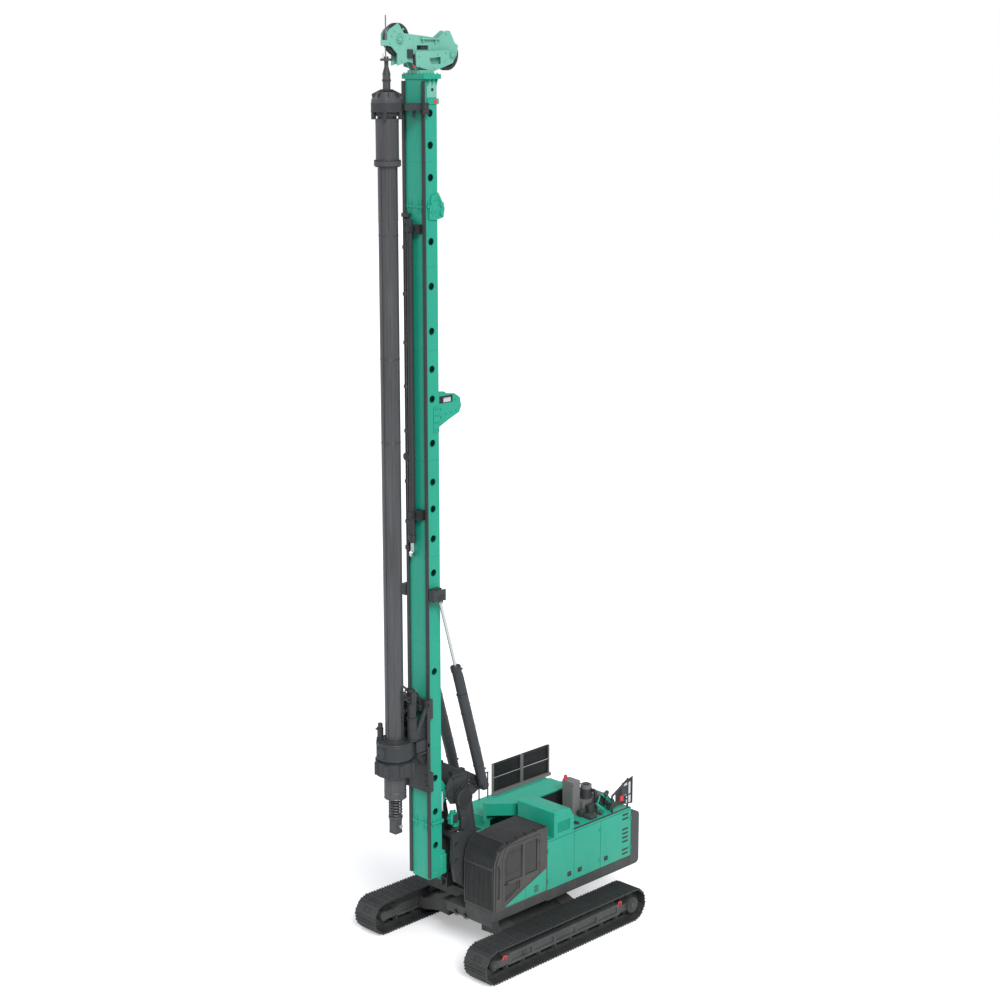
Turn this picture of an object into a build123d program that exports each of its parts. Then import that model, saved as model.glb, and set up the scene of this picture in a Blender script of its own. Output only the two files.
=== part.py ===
from build123d import *
import math
import os

# A rotary piling rig on tracks, parked with its mast upright and its kelly bar raised.
# Millimetres. +X is the machine's left, where the cab is, -Y is its front, +Z is up.
# The origin is on the ground, under the slewing centre.

# Tracks
track_width = 4400
track_length = 5450
shoe_width = 700
track_height = 830
shoe_plate = 20
grouser_height = 25
link_height = 90
link_band = 200
shoes_per_track = 46
side_frame_width = 500
side_frame_low = 292
side_frame_high = 575
bottom_rollers = 8
bottom_roller_r = 75
carrier_rollers = 2
carrier_roller_r = 55

# Centre frame and slewing ring
centre_half_x = 800
centre_half_y = 900
centre_low = 420
centre_high = 800
cross_arm_y = 1000
cross_arm_width = 420
ring_r = 720
ring_top = 1000
ring_gap = 0.3

# Upper structure
upper_half_x = 1500
skirt_low = 1050
deck_low = 1300
deck_high = 2550
rear_y = 2950
counterweight_y = 3250
cab_front_y = -1750
platform_plate = 30
main_plate_in = 310
main_plate_t = 40
house_inner_x = 420
panel_t = 40
door_gap = 12
hinge_out = 14
hinge_inset = 14
hinge_r = 12
hinge_pin_r = 7
hinge_h = 30
door_seams = (0, 920, 1850)
louvre_door_end = 2950
service_door_z = (1312, 2498)
cross_box = (320, 230, 900, 650)
hood = (-420, 200, -140, 2180, 430)
front_beam = (-60, 1440, 880, 210)
tank_top = 2250

# Cab
cab_in_x = 560
cab_top = 2930
cab_wall = 50
cab_door_y = (-1480, -250)
cab_door_top = 2800
cab_hinges = (1860, 2830)
side_panel = ((-1370, 1360), (-30, 1876), 1335)
glass_t = 8
guard_z = (1330, 2350)
guard_t = 44
guard_bars = 20
seat_gap = 0.3

# Working linkage: pins as (y, z)
boom_foot = (-1350, 1550)
boom_top = (-1700, 3800)
link_offset = (400, 60)
mast_pivot = (-1980, 3930)
cylinder_base = (-1050, 3930)
cylinder_eye = (-2400, 8650)
luff_base = (-300, 1520)
luff_eye = (-1400, 2700)
arm_in = 370
arm_t = 100
head_in = 290
head_t = 34
pin_r = 60
pin_fit = 0.05
side_gap = 6
mast_cylinder_x = 450
mast_rod_r = 36

# Mast
mast_front_y = -2600
mast_depth = 400
mast_half_x = 270
mast_wall = 14
mast_low = 2000
mast_joint_low = 3330
mast_joint_high = 17170
mast_top = 19900
rail_in = 262
rail_out = 345
rail_t = 36
side_hole_r = 80
side_hole_y = -2395
side_holes = (2790, 3600, 4400, 6910, 9180, 9950, 10620, 11220, 12080, 13050, 13700,
              14520, 15480, 16430, 17770, 18440, 19100)
slide_gap = 0.5
shoe_wall = 28

# Kelly bar and its drive
kelly_y = -3360
kelly_r = 200
kelly_bore_r = 165
kelly_low = 4200
kelly_head = 19540
rib_count = 6
rib_height = 12
rib_width = 40
inner_r = 150
stub_low = 3300
spring_low = 3720
spring_high = 4140
spring_r = 138
spring_wire_r = 27
spring_core_r = 88
drive_top = 5480
drive_ring_r = 410
lobe_ring_r = 435
sleeve_r = 248
sleeve_bore_r = 220
sleeve_low = 4140
sledge_low = 4150
sledge_high = 6320
guide_low = 19080
guide_high = 19320
head_sleeve_r = 262
sheave_r = 330
groove_r = 280
front_sheave_z = 20600
rear_sheave = (-1680, 20300)


def box(x0, x1, y0, y1, z0, z1):
    return Solid.make_box(x1 - x0, y1 - y0, z1 - z0, Plane((x0, y0, z0)))


def cylinder_x(x0, x1, y, z, r):
    return Solid.make_cylinder(r, x1 - x0, Plane((x0, y, z), x_dir=(0, 1, 0), z_dir=(1, 0, 0)))


def cylinder_y(x, y0, y1, z, r):
    return Solid.make_cylinder(r, y1 - y0, Plane((x, y0, z), x_dir=(1, 0, 0), z_dir=(0, 1, 0)))


def cylinder_z(x, y, z0, z1, r):
    return Solid.make_cylinder(r, z1 - z0, Plane((x, y, z0)))


def pipe_z(x, y, z0, z1, r, bore):
    return cylinder_z(x, y, z0, z1, r) - cylinder_z(x, y, z0 - 1, z1 + 1, bore)


def side_profile(points, x0, x1):
    """A plate cut to an outline of (y, z) points, from x0 to x1."""
    plane = Plane((x0, 0, 0), x_dir=(0, 1, 0), z_dir=(1, 0, 0))
    return extrude(plane * Polygon(*points, align=None), x1 - x0, dir=(1, 0, 0))


def front_profile(points, y0, y1):
    """A plate cut to an outline of (x, z) points, from y0 to y1."""
    plane = Plane((0, y1, 0), x_dir=(1, 0, 0), z_dir=(0, -1, 0))
    return extrude(plane * Polygon(*points, align=None), y1 - y0, dir=(0, -1, 0))


def bar(x, start, end, r, first=0.0, last=None):
    """A round bar at x along the line of two (y, z) points, from first to last along it."""
    dy, dz = end[0] - start[0], end[1] - start[1]
    length = math.hypot(dy, dz)
    last = length if last is None else last
    uy, uz = dy / length, dz / length
    origin = (x, start[0] + uy * first, start[1] + uz * first)
    return Solid.make_cylinder(r, last - first, Plane(origin, x_dir=(1, 0, 0), z_dir=(0, uy, uz)))


def flipped(shape):
    return mirror(shape, Plane.YZ)


def both(shape):
    return shape + flipped(shape)


def write(node, *shapes):
    solids = [s for shape in shapes for s in shape.solids()]
    export_step(Compound(children=solids), f"parts/{node}.step")


# Undercarriage

def stadium(half_length, r, z):
    """Points round a track path of the given radius, as a function of the way round it."""
    straight = 2 * half_length
    total = 2 * straight + 2 * math.pi * r

    def at(s, out):
        s = s % total
        if s < straight:
            return (-half_length + s, z + r + out), 0
        s -= straight
        if s < math.pi * r:
            turn = s / r
            return (half_length + (r + out) * math.sin(turn), z + (r + out) * math.cos(turn)), turn
        s -= math.pi * r
        if s < straight:
            return (half_length - s, z - r - out), math.pi
        s -= straight
        turn = s / r
        return (-half_length - (r + out) * math.sin(turn), z - (r + out) * math.cos(turn)), turn

    return at, total


def track(side):
    centre_z = track_height / 2
    base_r = centre_z - grouser_height - shoe_plate
    half = track_length / 2 - centre_z
    at, total = stadium(half, base_r, centre_z)
    pitch = total / shoes_per_track
    # One shoe, as (share of the pitch, height above the shoe's inner face)
    shoe = ((0.02, 0), (0.06, shoe_plate), (0.14, shoe_plate + grouser_height),
            (0.25, shoe_plate + grouser_height), (0.29, shoe_plate), (0.60, shoe_plate),
            (0.64, shoe_plate + grouser_height), (0.73, shoe_plate + grouser_height),
            (0.94, shoe_plate), (0.98, 0))
    outline = [at((i + share) * pitch, out)[0] for i in range(shoes_per_track) for share, out in shoe]
    x0 = side * (track_width / 2 - shoe_width / 2)
    inner = Pos(x0 - shoe_width, 0, centre_z) * stadium_solid(half, base_r - 12, 2 * shoe_width)
    shoes = side_profile(outline, x0 - shoe_width / 2, x0 + shoe_width / 2) - inner
    links = Pos(x0 - link_band / 2, 0, centre_z) * stadium_solid(half, base_r - 6, link_band)
    links -= Pos(x0 - shoe_width, 0, centre_z) * stadium_solid(half, base_r - link_height, 2 * shoe_width)
    return shoes + links


def stadium_solid(half_length, r, width):
    """A long round-ended block on the X axis, width wide, centred in Y and Z."""
    middle = Solid.make_box(width, 2 * half_length, 2 * r, Plane((0, -half_length, -r)))
    ends = [cylinder_x(0, width, y, 0, r) for y in (-half_length, half_length)]
    return middle + ends[0] + ends[1]


def track_frame(side):
    x = side * (track_width / 2 - shoe_width / 2)
    half = track_length / 2 - track_height / 2 - 330
    w = side_frame_width / 2
    outline = ((-half, side_frame_low + 60), (-half + 120, side_frame_low), (half - 120, side_frame_low),
               (half, side_frame_low + 60), (half, side_frame_high - 60), (half - 160, side_frame_high),
               (-half + 160, side_frame_high), (-half, side_frame_high - 60))
    frame = side_profile(outline, x - w, x + w)
    panels = 5
    pitch = (2 * half - 300) / panels
    for i in range(panels):
        y0 = -half + 150 + i * pitch + 40
        for face in (-1, 1):
            x_face = x + face * w
            frame -= box(min(x_face, x_face - face * 25), max(x_face, x_face - face * 25),
                         y0, y0 + pitch - 80, side_frame_low + 70, side_frame_high - 80)
    for end in (-1, 1):
        hub_y = end * (track_length / 2 - track_height / 2)
        for face in (-1, 1):
            near = x + face * (w - 60)
            cheek = box(min(near, near + face * 60), max(near, near + face * 60),
                        min(end * half, hub_y), max(end * half, hub_y), 325, 505)
            cheek += cylinder_x(min(near, near + face * 60), max(near, near + face * 60),
                                hub_y, track_height / 2, 110)
            frame += cheek
    for i in range(carrier_rollers):
        y = (i * 2 - 1) * 750
        top = track_height - grouser_height - shoe_plate - link_height - carrier_roller_r
        frame += box(x - 30, x + 30, y - 40, y + 40, side_frame_high - 5, top - 18)
    return frame


def track_wheels():
    wheels = []
    hub_z = track_height / 2
    r = hub_z - grouser_height - shoe_plate - link_height - seat_gap
    for side in (-1, 1):
        x = side * (track_width / 2 - shoe_width / 2)
        for end in (-1, 1):
            y = end * (track_length / 2 - hub_z)
            wheel = cylinder_x(x - 90, x + 90, y, hub_z, r)
            wheel += cylinder_x(x - side_frame_width / 2 + 60 + seat_gap,
                                x + side_frame_width / 2 - 60 - seat_gap, y, hub_z, 120)
            if end > 0:
                for i in range(16):
                    turn = math.radians(i * 22.5)
                    wheel -= cylinder_x(x - 91, x + 91, y + (r + 12) * math.cos(turn),
                                        hub_z + (r + 12) * math.sin(turn), 30)
            wheels.append(wheel)
    return wheels


def many_sided_x(x0, x1, y, z, r):
    """A small roller, as a prism of 14 sides that stands on one of its corners."""
    plane = Plane((x0, y, z), x_dir=(0, 0, 1), z_dir=(1, 0, 0))
    return extrude(plane * RegularPolygon(r, 14), x1 - x0, dir=(1, 0, 0))


def track_rollers():
    rollers = []
    low = grouser_height + shoe_plate + link_height + bottom_roller_r + seat_gap
    top = track_height - low + bottom_roller_r - carrier_roller_r
    span = track_length - track_height - 900
    for side in (-1, 1):
        x = side * (track_width / 2 - shoe_width / 2)
        for i in range(bottom_rollers):
            y = -span / 2 + i * span / (bottom_rollers - 1)
            roller = many_sided_x(x - 130, x + 130, y, low, bottom_roller_r)
            for face in (-1, 1):
                roller += box(x + face * 150 - 25, x + face * 150 + 25, y - 40, y + 40, low - 30,
                              side_frame_low - seat_gap)
            rollers.append(roller)
        for i in range(carrier_rollers):
            y = (i * 2 - 1) * 750
            rollers.append(many_sided_x(x - 110, x + 110, y, top, carrier_roller_r)
                           - box(x - 30 - seat_gap, x + 30 + seat_gap, y - 41, y + 41, top - 60, top - 17))
    return rollers


def car_body():
    body = box(-centre_half_x, centre_half_x, -centre_half_y, centre_half_y, centre_low, centre_high)
    body = fillet(body.edges().filter_by(Axis.Z), 160)
    frame_face = track_width / 2 - shoe_width / 2 - side_frame_width / 2
    arm = ((centre_half_x - 250, centre_low), (centre_half_x + 120, centre_low + 20),
           (frame_face - 160, side_frame_low + 20), (frame_face, side_frame_low + 20),
           (frame_face, side_frame_high - 20), (frame_face - 120, side_frame_high - 10),
           (centre_half_x, centre_high - 20), (centre_half_x - 250, centre_high - 20))
    for y in (-cross_arm_y, cross_arm_y):
        beam = front_profile(arm, y - cross_arm_width / 2, y + cross_arm_width / 2)
        body += beam + flipped(beam)
    body += cylinder_z(0, 0, centre_high, ring_top - 90, ring_r + 40)
    body += cylinder_z(0, 0, centre_high, ring_top, ring_r - 30)
    return body


# Hinges of the service doors and the cab door

def hinge_heights(z0, z1):
    return z0 + 220, z1 - 220


def hinge_pins(y, z0, z1):
    """The fixed pin and middle knuckle of each hinge of a door on the left face."""
    x = upper_half_x + hinge_out
    pins = []
    for z in hinge_heights(z0, z1):
        pins.append(cylinder_z(x, y, z - 1.5 * hinge_h - 1, z + 1.5 * hinge_h + 1, hinge_pin_r)
                    + cylinder_z(x, y, z - hinge_h / 2 + 1, z + hinge_h / 2 - 1, hinge_r))
    return pins


def hinge_knuckles(y, toward, z0, z1):
    """The door's own knuckles, on a leaf that lies on its face towards +Y or -Y."""
    x = upper_half_x + hinge_out
    ya, yb = sorted((y + toward * (door_gap / 2 + 2), y + toward * 70))
    knuckles = None
    for z in hinge_heights(z0, z1):
        for low in (z - 1.5 * hinge_h, z + hinge_h / 2):
            lug = cylinder_z(x, y, low, low + hinge_h, hinge_r)
            lug += box(upper_half_x - 1, upper_half_x + 6, ya, yb, low, low + hinge_h)
            y_in, y_out = sorted((y, y + toward * 25))
            lug += box(upper_half_x + 3, upper_half_x + 8, y_in, y_out, low, low + hinge_h)
            lug -= cylinder_z(x, y, low - 1, low + hinge_h + 1, hinge_pin_r + pin_fit)
            knuckles = lug if knuckles is None else knuckles + lug
    return knuckles


# Upper structure

def slew_platform():
    frame = box(-upper_half_x, upper_half_x, 0, rear_y, skirt_low, deck_low)
    frame += box(-upper_half_x, cab_in_x, -1300, 0, skirt_low, deck_low)
    frame += box(cab_in_x, upper_half_x, cab_front_y, 0, skirt_low + 30, deck_low)
    for x0, x1 in ((-upper_half_x + 30, -850), (850, upper_half_x - 30)):
        for y0, y1 in ((30, 1350), (1400, 2600)):
            frame -= box(x0, x1, y0, y1, skirt_low - 1, deck_low - platform_plate)
    for x0, x1 in ((-800, -main_plate_in - main_plate_t), (main_plate_in + main_plate_t, 800)):
        for y0, y1 in ((800, 1600), (1650, 2600)):
            frame -= box(x0, x1, y0, y1, skirt_low - 1, deck_low - platform_plate)
    frame += cylinder_z(0, 0, ring_top + ring_gap, skirt_low + 10, ring_r)
    x0, x1, low, depth = front_beam
    beam = box(x0, x1, cab_front_y, cab_front_y + depth, low, skirt_low + 40)
    beam = chamfer(beam.edges().filter_by(Axis.X).group_by(Axis.Z)[0], 50)
    for x in (x0 + 330, x0 + 640):
        beam -= cylinder_y(x, cab_front_y - 1, cab_front_y + 60, low + 90, 62)
    frame += beam + box(x0, cab_in_x + 1, cab_front_y, -1290, skirt_low + 30, skirt_low + 80)
    return frame


def main_plates():
    """The two upright plates along the deck with the boom's lugs, and the luff cylinder's own lugs."""
    a = boom_foot
    front = ((-1500, deck_low), (-1500, a[1] - 60), (-1440, a[1] + 90))
    plate = front + ((-1250, a[1] + 130), (-900, a[1] + 180), (-700, a[1] + 90), (100, 1700), (1500, 1640),
                     (2600, 1400), (2600, deck_low))
    side = side_profile(plate, main_plate_in, main_plate_in + main_plate_t)
    outer_in = arm_in + arm_t + side_gap
    side += side_profile(front + ((-1260, a[1] + 90), (-1150, deck_low)), outer_in, outer_in + main_plate_t)
    side += cylinder_x(main_plate_in, outer_in + main_plate_t, *a, pin_r)
    rod_foot = (a[0] + link_offset[0], a[1] + link_offset[1])
    inner = ((rod_foot[0] - 130, deck_low), (rod_foot[0] - 90, rod_foot[1] + 90),
             (rod_foot[0] + 90, rod_foot[1] + 90), (rod_foot[0] + 130, deck_low))
    side += side_profile(inner, 150, 190)
    side += cylinder_x(150, main_plate_in + 10, *rod_foot, 45)
    base = ((luff_base[0] - 140, deck_low), (luff_base[0] - 80, luff_base[1] + 80),
            (luff_base[0] + 80, luff_base[1] + 80), (luff_base[0] + 160, deck_low))
    lugs = both(side_profile(base, 92, 132)) + cylinder_x(-132, 132, *luff_base, 45)
    return side, flipped(side), lugs


def winch_frame():
    side = ((350, deck_low), (380, 2150), (700, 2300), (1100, 2150), (1250, deck_low))
    cheek = side_profile(side, main_plate_in - 40, main_plate_in - seat_gap)
    frame = both(cheek) + cylinder_x(-main_plate_in + 10, main_plate_in - 10, 430, 2100, 30)
    frame += box(-main_plate_in + seat_gap, main_plate_in - seat_gap, 350, 1250, deck_low, deck_low + 30)
    hub = cylinder_x(main_plate_in - 120, main_plate_in - 30, 780, 1800, 130)
    return frame + both(hub)


def winch_drum():
    drum = cylinder_x(-170, 170, 780, 1800, 230)
    for x in (-170, 150):
        drum += cylinder_x(x, x + 20, 780, 1800, 370)
    drum -= cylinder_x(-171, 171, 780, 1800, 130 + 20)
    web = cylinder_x(-20, 20, 780, 1800, 180)
    bearing = cylinder_x(-190 + seat_gap, 190 - seat_gap, 780, 1800, 60)
    return drum + web + bearing


def house_shell(x0, x1, top, y0, y1, open_side):
    """A sheet-metal house: roof, ends and inner wall, open where its doors close it."""
    outer = box(x0, x1, y0, y1, deck_low, top)
    x_in0 = x0 + panel_t if open_side > 0 else x0 - 1
    x_in1 = x1 + 1 if open_side > 0 else x1 - panel_t
    return outer - box(x_in0, x_in1, y0 + panel_t, y1 - panel_t, deck_low - 1, top - panel_t)


def left_house():
    house = house_shell(house_inner_x, upper_half_x, deck_high, 0, rear_y, 1)
    house -= box(upper_half_x - panel_t - door_gap, upper_half_x + 1, -1, rear_y + 1, deck_low - 1,
                 deck_high - panel_t)
    for seam in door_seams[1:]:
        house += box(upper_half_x - 130, upper_half_x - panel_t - 10, seam - 40, seam + 40,
                     deck_low, deck_high - panel_t)
    z0, z1 = service_door_z
    for edge, toward in ((0, 1), (door_seams[2], -1), (louvre_door_end, -1)):
        leaf_0, leaf_1 = sorted((edge + toward * 0.3, edge + toward * 4))
        for z, pin in zip(hinge_heights(z0, z1), hinge_pins(edge + toward * hinge_inset, z0, z1)):
            house += pin
            house += box(upper_half_x - panel_t - 30, upper_half_x + hinge_out, leaf_0, leaf_1,
                         z - hinge_h / 2 + 1, z + hinge_h / 2 - 1)
    return house


def right_house():
    house = house_shell(-upper_half_x, -house_inner_x, deck_high, 0, rear_y, 1)
    house += box(-upper_half_x, -cab_in_x, -900, 1, deck_low, tank_top)
    for i in range(2):
        house += box(-upper_half_x, -cab_in_x, -1300 + i * 200, -899, deck_low, deck_low + 320 * (i + 1))
    return house + winch_hood()


def winch_hood():
    """The cover over the winch, with its front left corner cut off at a slant."""
    x0, x1, y0, y1, height = hood

    def block(inset, z0, z1):
        plan = ((x0 - 60 + inset, y0 + inset), (x0 + 60, y0 + inset), (x1 - inset, y0 + 600 + inset),
                (x1 - inset, y1 - inset), (x0 - 60 + inset, y1 - inset))
        return extrude(Plane((0, 0, z0)) * Polygon(*plan, align=None), z1 - z0, dir=(0, 0, 1))

    cover = block(0, deck_high - 20, deck_high + height)
    cover -= block(30, deck_high - 21, deck_high + height - 30)
    return cover - box(x0 + 40, x1 + 1, y0 - 1, y0 + 640, deck_high - 21, deck_high + 130)


def service_door(y0, y1, louvres, hinge_y):
    z0, z1 = service_door_z
    door = box(upper_half_x - panel_t, upper_half_x, y0 + door_gap / 2, y1 - door_gap / 2, z0, z1)
    toward = 1 if hinge_y == y0 else -1
    door += hinge_knuckles(hinge_y + toward * hinge_inset, toward, z0, z1)
    for z0, count in louvres:
        for i in range(count):
            z = z0 + i * 105
            door -= box(upper_half_x - 25, upper_half_x + 1, y1 - 310, y1 - 110, z, z + 45)
    return door


def cross_housing():
    x0, y0, y1, height = cross_box
    x1, top = upper_half_x, deck_high + height

    def section(inset, z0):
        return ((y0 + inset, z0), (y0 + inset, top - 50), (y0 + 50, top - inset), (y0 + 140, top - inset),
                (y1 - 140, top - 60 - inset), (y1 - inset, top - 270), (y1 - inset, z0))

    shell = side_profile(section(0, deck_high), x0, x1)
    shell -= side_profile(section(30, deck_high - 1), x0 + 30, x1 - 30)
    vent = (y0 + 110, y1 - 130, deck_high + 80, top - 310)
    shell -= box(x1 - 40, x1 + 1, *vent)
    shell += box(x1 - 38, x1 - 30, vent[0] - 5, vent[1] + 5, vent[2] - 5, vent[3] + 5)
    return shell


def counterweight():
    block = box(-upper_half_x, upper_half_x, rear_y, counterweight_y, skirt_low, 2400)
    block = fillet(block.edges().filter_by(Axis.X).group_by(Axis.Y)[-1], 120)
    return block


def engine_block():
    return box(house_inner_x + 100, upper_half_x - 250, 1050, 2600, deck_low + seat_gap, 2250)


def exhaust_box():
    x0, x1 = house_inner_x + 80, upper_half_x - 600
    pot = box(x0, x1, 1540, 1800, deck_high, deck_high + 830)
    pot = fillet(pot.edges().filter_by(Axis.Z), 60)
    pot += box(x0 + 60, x1 + 60, 1795, 2300, deck_high, deck_high + 300)
    pot += cylinder_z(x1 - 90, 2080, deck_high + 290, deck_high + 640, 135)
    return pot + cylinder_x(x1 - 240, x1 + 180, 2400, deck_high + 260, 130)


def deck_rails():
    """The small hoop on the right edge and the mirror frame on the left edge."""
    x = -upper_half_x + 40
    hoop_top = deck_high + 630
    hoop = cylinder_z(x, 700, deck_high, hoop_top, 18) + cylinder_z(x, 1000, deck_high, hoop_top, 18)
    hoop += cylinder_y(x, 682, 1018, hoop_top, 18)
    x = upper_half_x - 100
    y0, y1 = rear_y - 590, rear_y - 30
    low, high = deck_high + 420, deck_high + 720
    rail = box(x - 18, x + 18, y0 - 18, y0 + 18, deck_high, low)
    rail += box(x - 18, x + 18, y1 - 18, y1 + 18, deck_high, high)
    rail += box(x - 18, x + 18, y0 - 18, y1 + 18, deck_high + 190, deck_high + 226)
    rail += side_profile(((y0 - 18, low - 40), (y1 + 18, high - 40), (y1 + 18, high), (y0 - 18, low)),
                         x - 18, x + 18)
    rail += box(x - 12, x + 12, y1 - 230, y1, deck_high + 330, high - 160)
    return hoop, rail


def guard_panels():
    guards = []
    for y0, y1 in ((1170, 2160), (2180, 3180)):
        x0, x1 = -upper_half_x, -upper_half_x + 40
        y1 = min(y1, rear_y + 230)
        top = deck_high + 790
        frame = box(x0, x1, y0, y1, deck_high, top)
        frame -= box(x0 - 1, x1 + 1, y0 + 40, y1 - 40, deck_high + 40, top - 40)
        frame += box(x0 + 16, x0 + 24, y0 + 35, y1 - 35, deck_high + 35, top - 35)
        frame += box(x0, x1, y0 + 35, y1 - 35, deck_high + 380, deck_high + 410)
        guards.append(frame)
    return guards


def cab_outline(inset):
    """The cab from the side, with its walls drawn in by the inset."""
    front, i = cab_front_y + inset, inset
    return ((front, deck_low + i), (front, 2350), (front + 50, cab_top - 370),
            (front + 150, cab_top - 190 - i), (front + 360, cab_top - 60 - i),
            (front + 870, cab_top - 10 - i), (-60 - i, cab_top - i), (-i, cab_top - 60 - i),
            (-i, deck_low + i))


def panel_edge(y):
    """Height of the side panel's slanting top edge, which the door's lower edge follows."""
    (ya, za), (yb, zb), low = side_panel
    return za + (zb - za) * (y - ya) / (yb - ya)


def door_outline(grow):
    y0, y1 = cab_door_y[0] - grow, cab_door_y[1] + grow
    return ((y0, panel_edge(y0) + 40 - grow), (y1, panel_edge(y1) + 40 - grow), (y1, cab_door_top + grow),
            (y0 + 120, cab_door_top + grow), (y0, cab_door_top + grow - 260))


def side_panel_outline(grow):
    (ya, za), (yb, zb), low = side_panel
    return ((ya - grow, low - grow), (yb + grow, low - grow), (yb + grow, panel_edge(yb + grow) + grow),
            (ya - grow, panel_edge(ya - grow) + grow))


def cab_side_panel():
    return side_profile(side_panel_outline(-seat_gap), upper_half_x - panel_t + seat_gap, upper_half_x)


def cab_shell():
    shell = side_profile(cab_outline(0), cab_in_x, upper_half_x)
    shell -= side_profile(cab_outline(cab_wall), cab_in_x + cab_wall, upper_half_x - cab_wall)
    shell -= side_profile(door_outline(0), upper_half_x - cab_wall - 1, upper_half_x + 1)
    shell -= side_profile(side_panel_outline(0), upper_half_x - panel_t, upper_half_x + 1)
    for window in cab_windows():
        shell -= window
    y = cab_door_y[1] - door_gap / 2
    for z, pin in zip(hinge_heights(*cab_hinges), hinge_pins(y, *cab_hinges)):
        shell += pin
        z0, z1 = z - hinge_h / 2 + 1, z + hinge_h / 2 - 1
        shell += box(upper_half_x - 1, upper_half_x + 8, y + 8, y + 60, z0, z1)
        shell += box(upper_half_x + 3, upper_half_x + 8, y, y + 9, z0, z1)
    return shell


def cab_windows(slack=0.0):
    """The cut-outs of the windscreen, the right side and the rear, or the panes that fill them."""
    s = slack
    t = 0 if slack == 0 else (cab_wall - glass_t) / 2
    reach = 1 if slack == 0 else -t
    front = box(cab_in_x + cab_wall + s, upper_half_x - 90 - s, cab_front_y - reach,
                cab_front_y + cab_wall + reach, 1500 + s, 2330 - s)
    right = side_profile(((-1660 + s, 1900 + s), (-200 - s, 1900 + s), (-200 - s, 2780 - s),
                          (-1310 + s, 2780 - s), (-1505 + s, 2660 - s), (-1640 + s, 2560), (-1660 + s, 2530)),
                         cab_in_x - reach, cab_in_x + cab_wall + reach)
    rear = box(cab_in_x + 120 + s, upper_half_x - 120 - s, -cab_wall - reach, reach, 2600 + s, 2800 - s)
    return front, right, rear


def cab_door():
    door = side_profile(door_outline(-door_gap), upper_half_x - cab_wall, upper_half_x)
    door += hinge_knuckles(cab_door_y[1] - door_gap / 2, -1, *cab_hinges)
    for cut in door_windows():
        door -= cut
    return door


def door_windows(slack=0.0):
    """The cut-outs of the door's three windows, or the panes that fill them."""
    y0, y1 = cab_door_y
    s = slack
    reach = 1 if slack == 0 else -(cab_wall - glass_t) / 2
    x0, x1 = upper_half_x - cab_wall - reach, upper_half_x + reach
    ya, yb, yc, yd = y0 + 80 + s, y0 + 660 - s, y0 + 740 + s, y1 - 80 - s
    sill, top = panel_edge(y1) + 130 + s, cab_door_top - 80 - s
    low = side_profile(((ya, panel_edge(y0) + 140 + s), (yb - 80, panel_edge(y0 + 580) + 140 + s),
                        (yb - 80, sill - 60 - 2 * s), (ya, sill - 60 - 2 * s)), x0, x1)
    front = side_profile(((ya, sill), (yb, sill), (yb, top), (ya + 110, top), (ya, top - 230)), x0, x1)
    rear = side_profile(((yc, sill), (yd, sill), (yd, top), (yc, top)), x0, x1)
    return low, front, rear


def guard_strip(near, far, x0, x1):
    """A strip of the upper guard that follows the cab's curved front between two distances from it."""
    slants = ((-1, 0), (-0.99, 0.12), (-0.93, 0.36), (-0.72, 0.69), (-0.32, 0.95))
    lines = []
    for out in (near, far):
        line = [(y + out * dy, z + out * dz) for (y, z), (dy, dz) in zip(cab_outline(0), slants)]
        line[:2] = [(cab_front_y - out, guard_z[1] + seat_gap)]
        lines.append(line)
    return side_profile(lines[0] + lines[1][::-1], x0, x1)


def cab_guard():
    """The guard before the windscreen in two pieces: the upright one and the curved one above it."""
    x0, x1 = cab_in_x + 10, upper_half_x - 10
    low, high = guard_z
    front, back = cab_front_y - guard_t, cab_front_y - seat_gap
    lower = box(x0, x1, front, back, low, high)
    lower -= box(x0 + 30, x1 - 30, front - 1, back + 1, low + 40, high - 30)
    upper = guard_strip(seat_gap, guard_t, x0, x0 + 30) + guard_strip(seat_gap, guard_t, x1 - 30, x1)
    upper += box(x0 + 10, x1 - 10, front + 5, back, high + seat_gap, high + 28)
    y, z = cab_outline(0)[4]
    upper += cylinder_x(x0, x1, y - 0.32 * guard_t / 2, z + 0.95 * guard_t / 2, guard_t / 2 - 2)
    pitch = (x1 - x0 - 60) / (guard_bars + 1)
    for i in range(guard_bars):
        x = x0 + 30 + (i + 1) * pitch
        lower += box(x - 6, x + 6, front + 8, front + 28, low + 10, high - 10)
        upper += guard_strip(guard_t - 28, guard_t - 8, x - 6, x + 6)
    return lower, upper


def operator_seat():
    seat = box(820, 1240, -1000, -300, deck_low + cab_wall, 1650)
    seat += box(790, 1270, -1000, -450, 1650, 1780)
    seat += box(810, 1250, -500, -350, 1780, 2400)
    return seat


# Working linkage

def boom_arms():
    a, b = boom_foot, boom_top
    outline = ((a[0] - 150, a[1] - 20), (a[0] - 600, a[1] + 250), (a[0] - 700, a[1] + 800),
               (a[0] - 670, a[1] + 1370), (a[0] - 310, a[1] + 1430), (b[0] - 190, b[1] - 40),
               (b[0] + 190, b[1] - 40), (a[0], a[1] + 1400), (a[0] + 150, a[1] + 650),
               (a[0] + 150, a[1] + 20))
    arm = side_profile(outline, arm_in, arm_in + arm_t)
    arm += cylinder_x(arm_in, arm_in + arm_t, *a, 150) + cylinder_x(arm_in, arm_in + arm_t, *b, 190)
    for y, z, r in ((-600, 1170, 60), (-590, 800, 45), (-480, 420, 45)):
        y, z = a[0] + y, a[1] + z
        arm -= cylinder_x(arm_in - 1, arm_in + arm_t + 1, y, z, r)
    for pin in (a, b):
        arm -= cylinder_x(arm_in - 1, arm_in + arm_t + 1, *pin, pin_r + pin_fit)
    return arm, flipped(arm)


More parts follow.
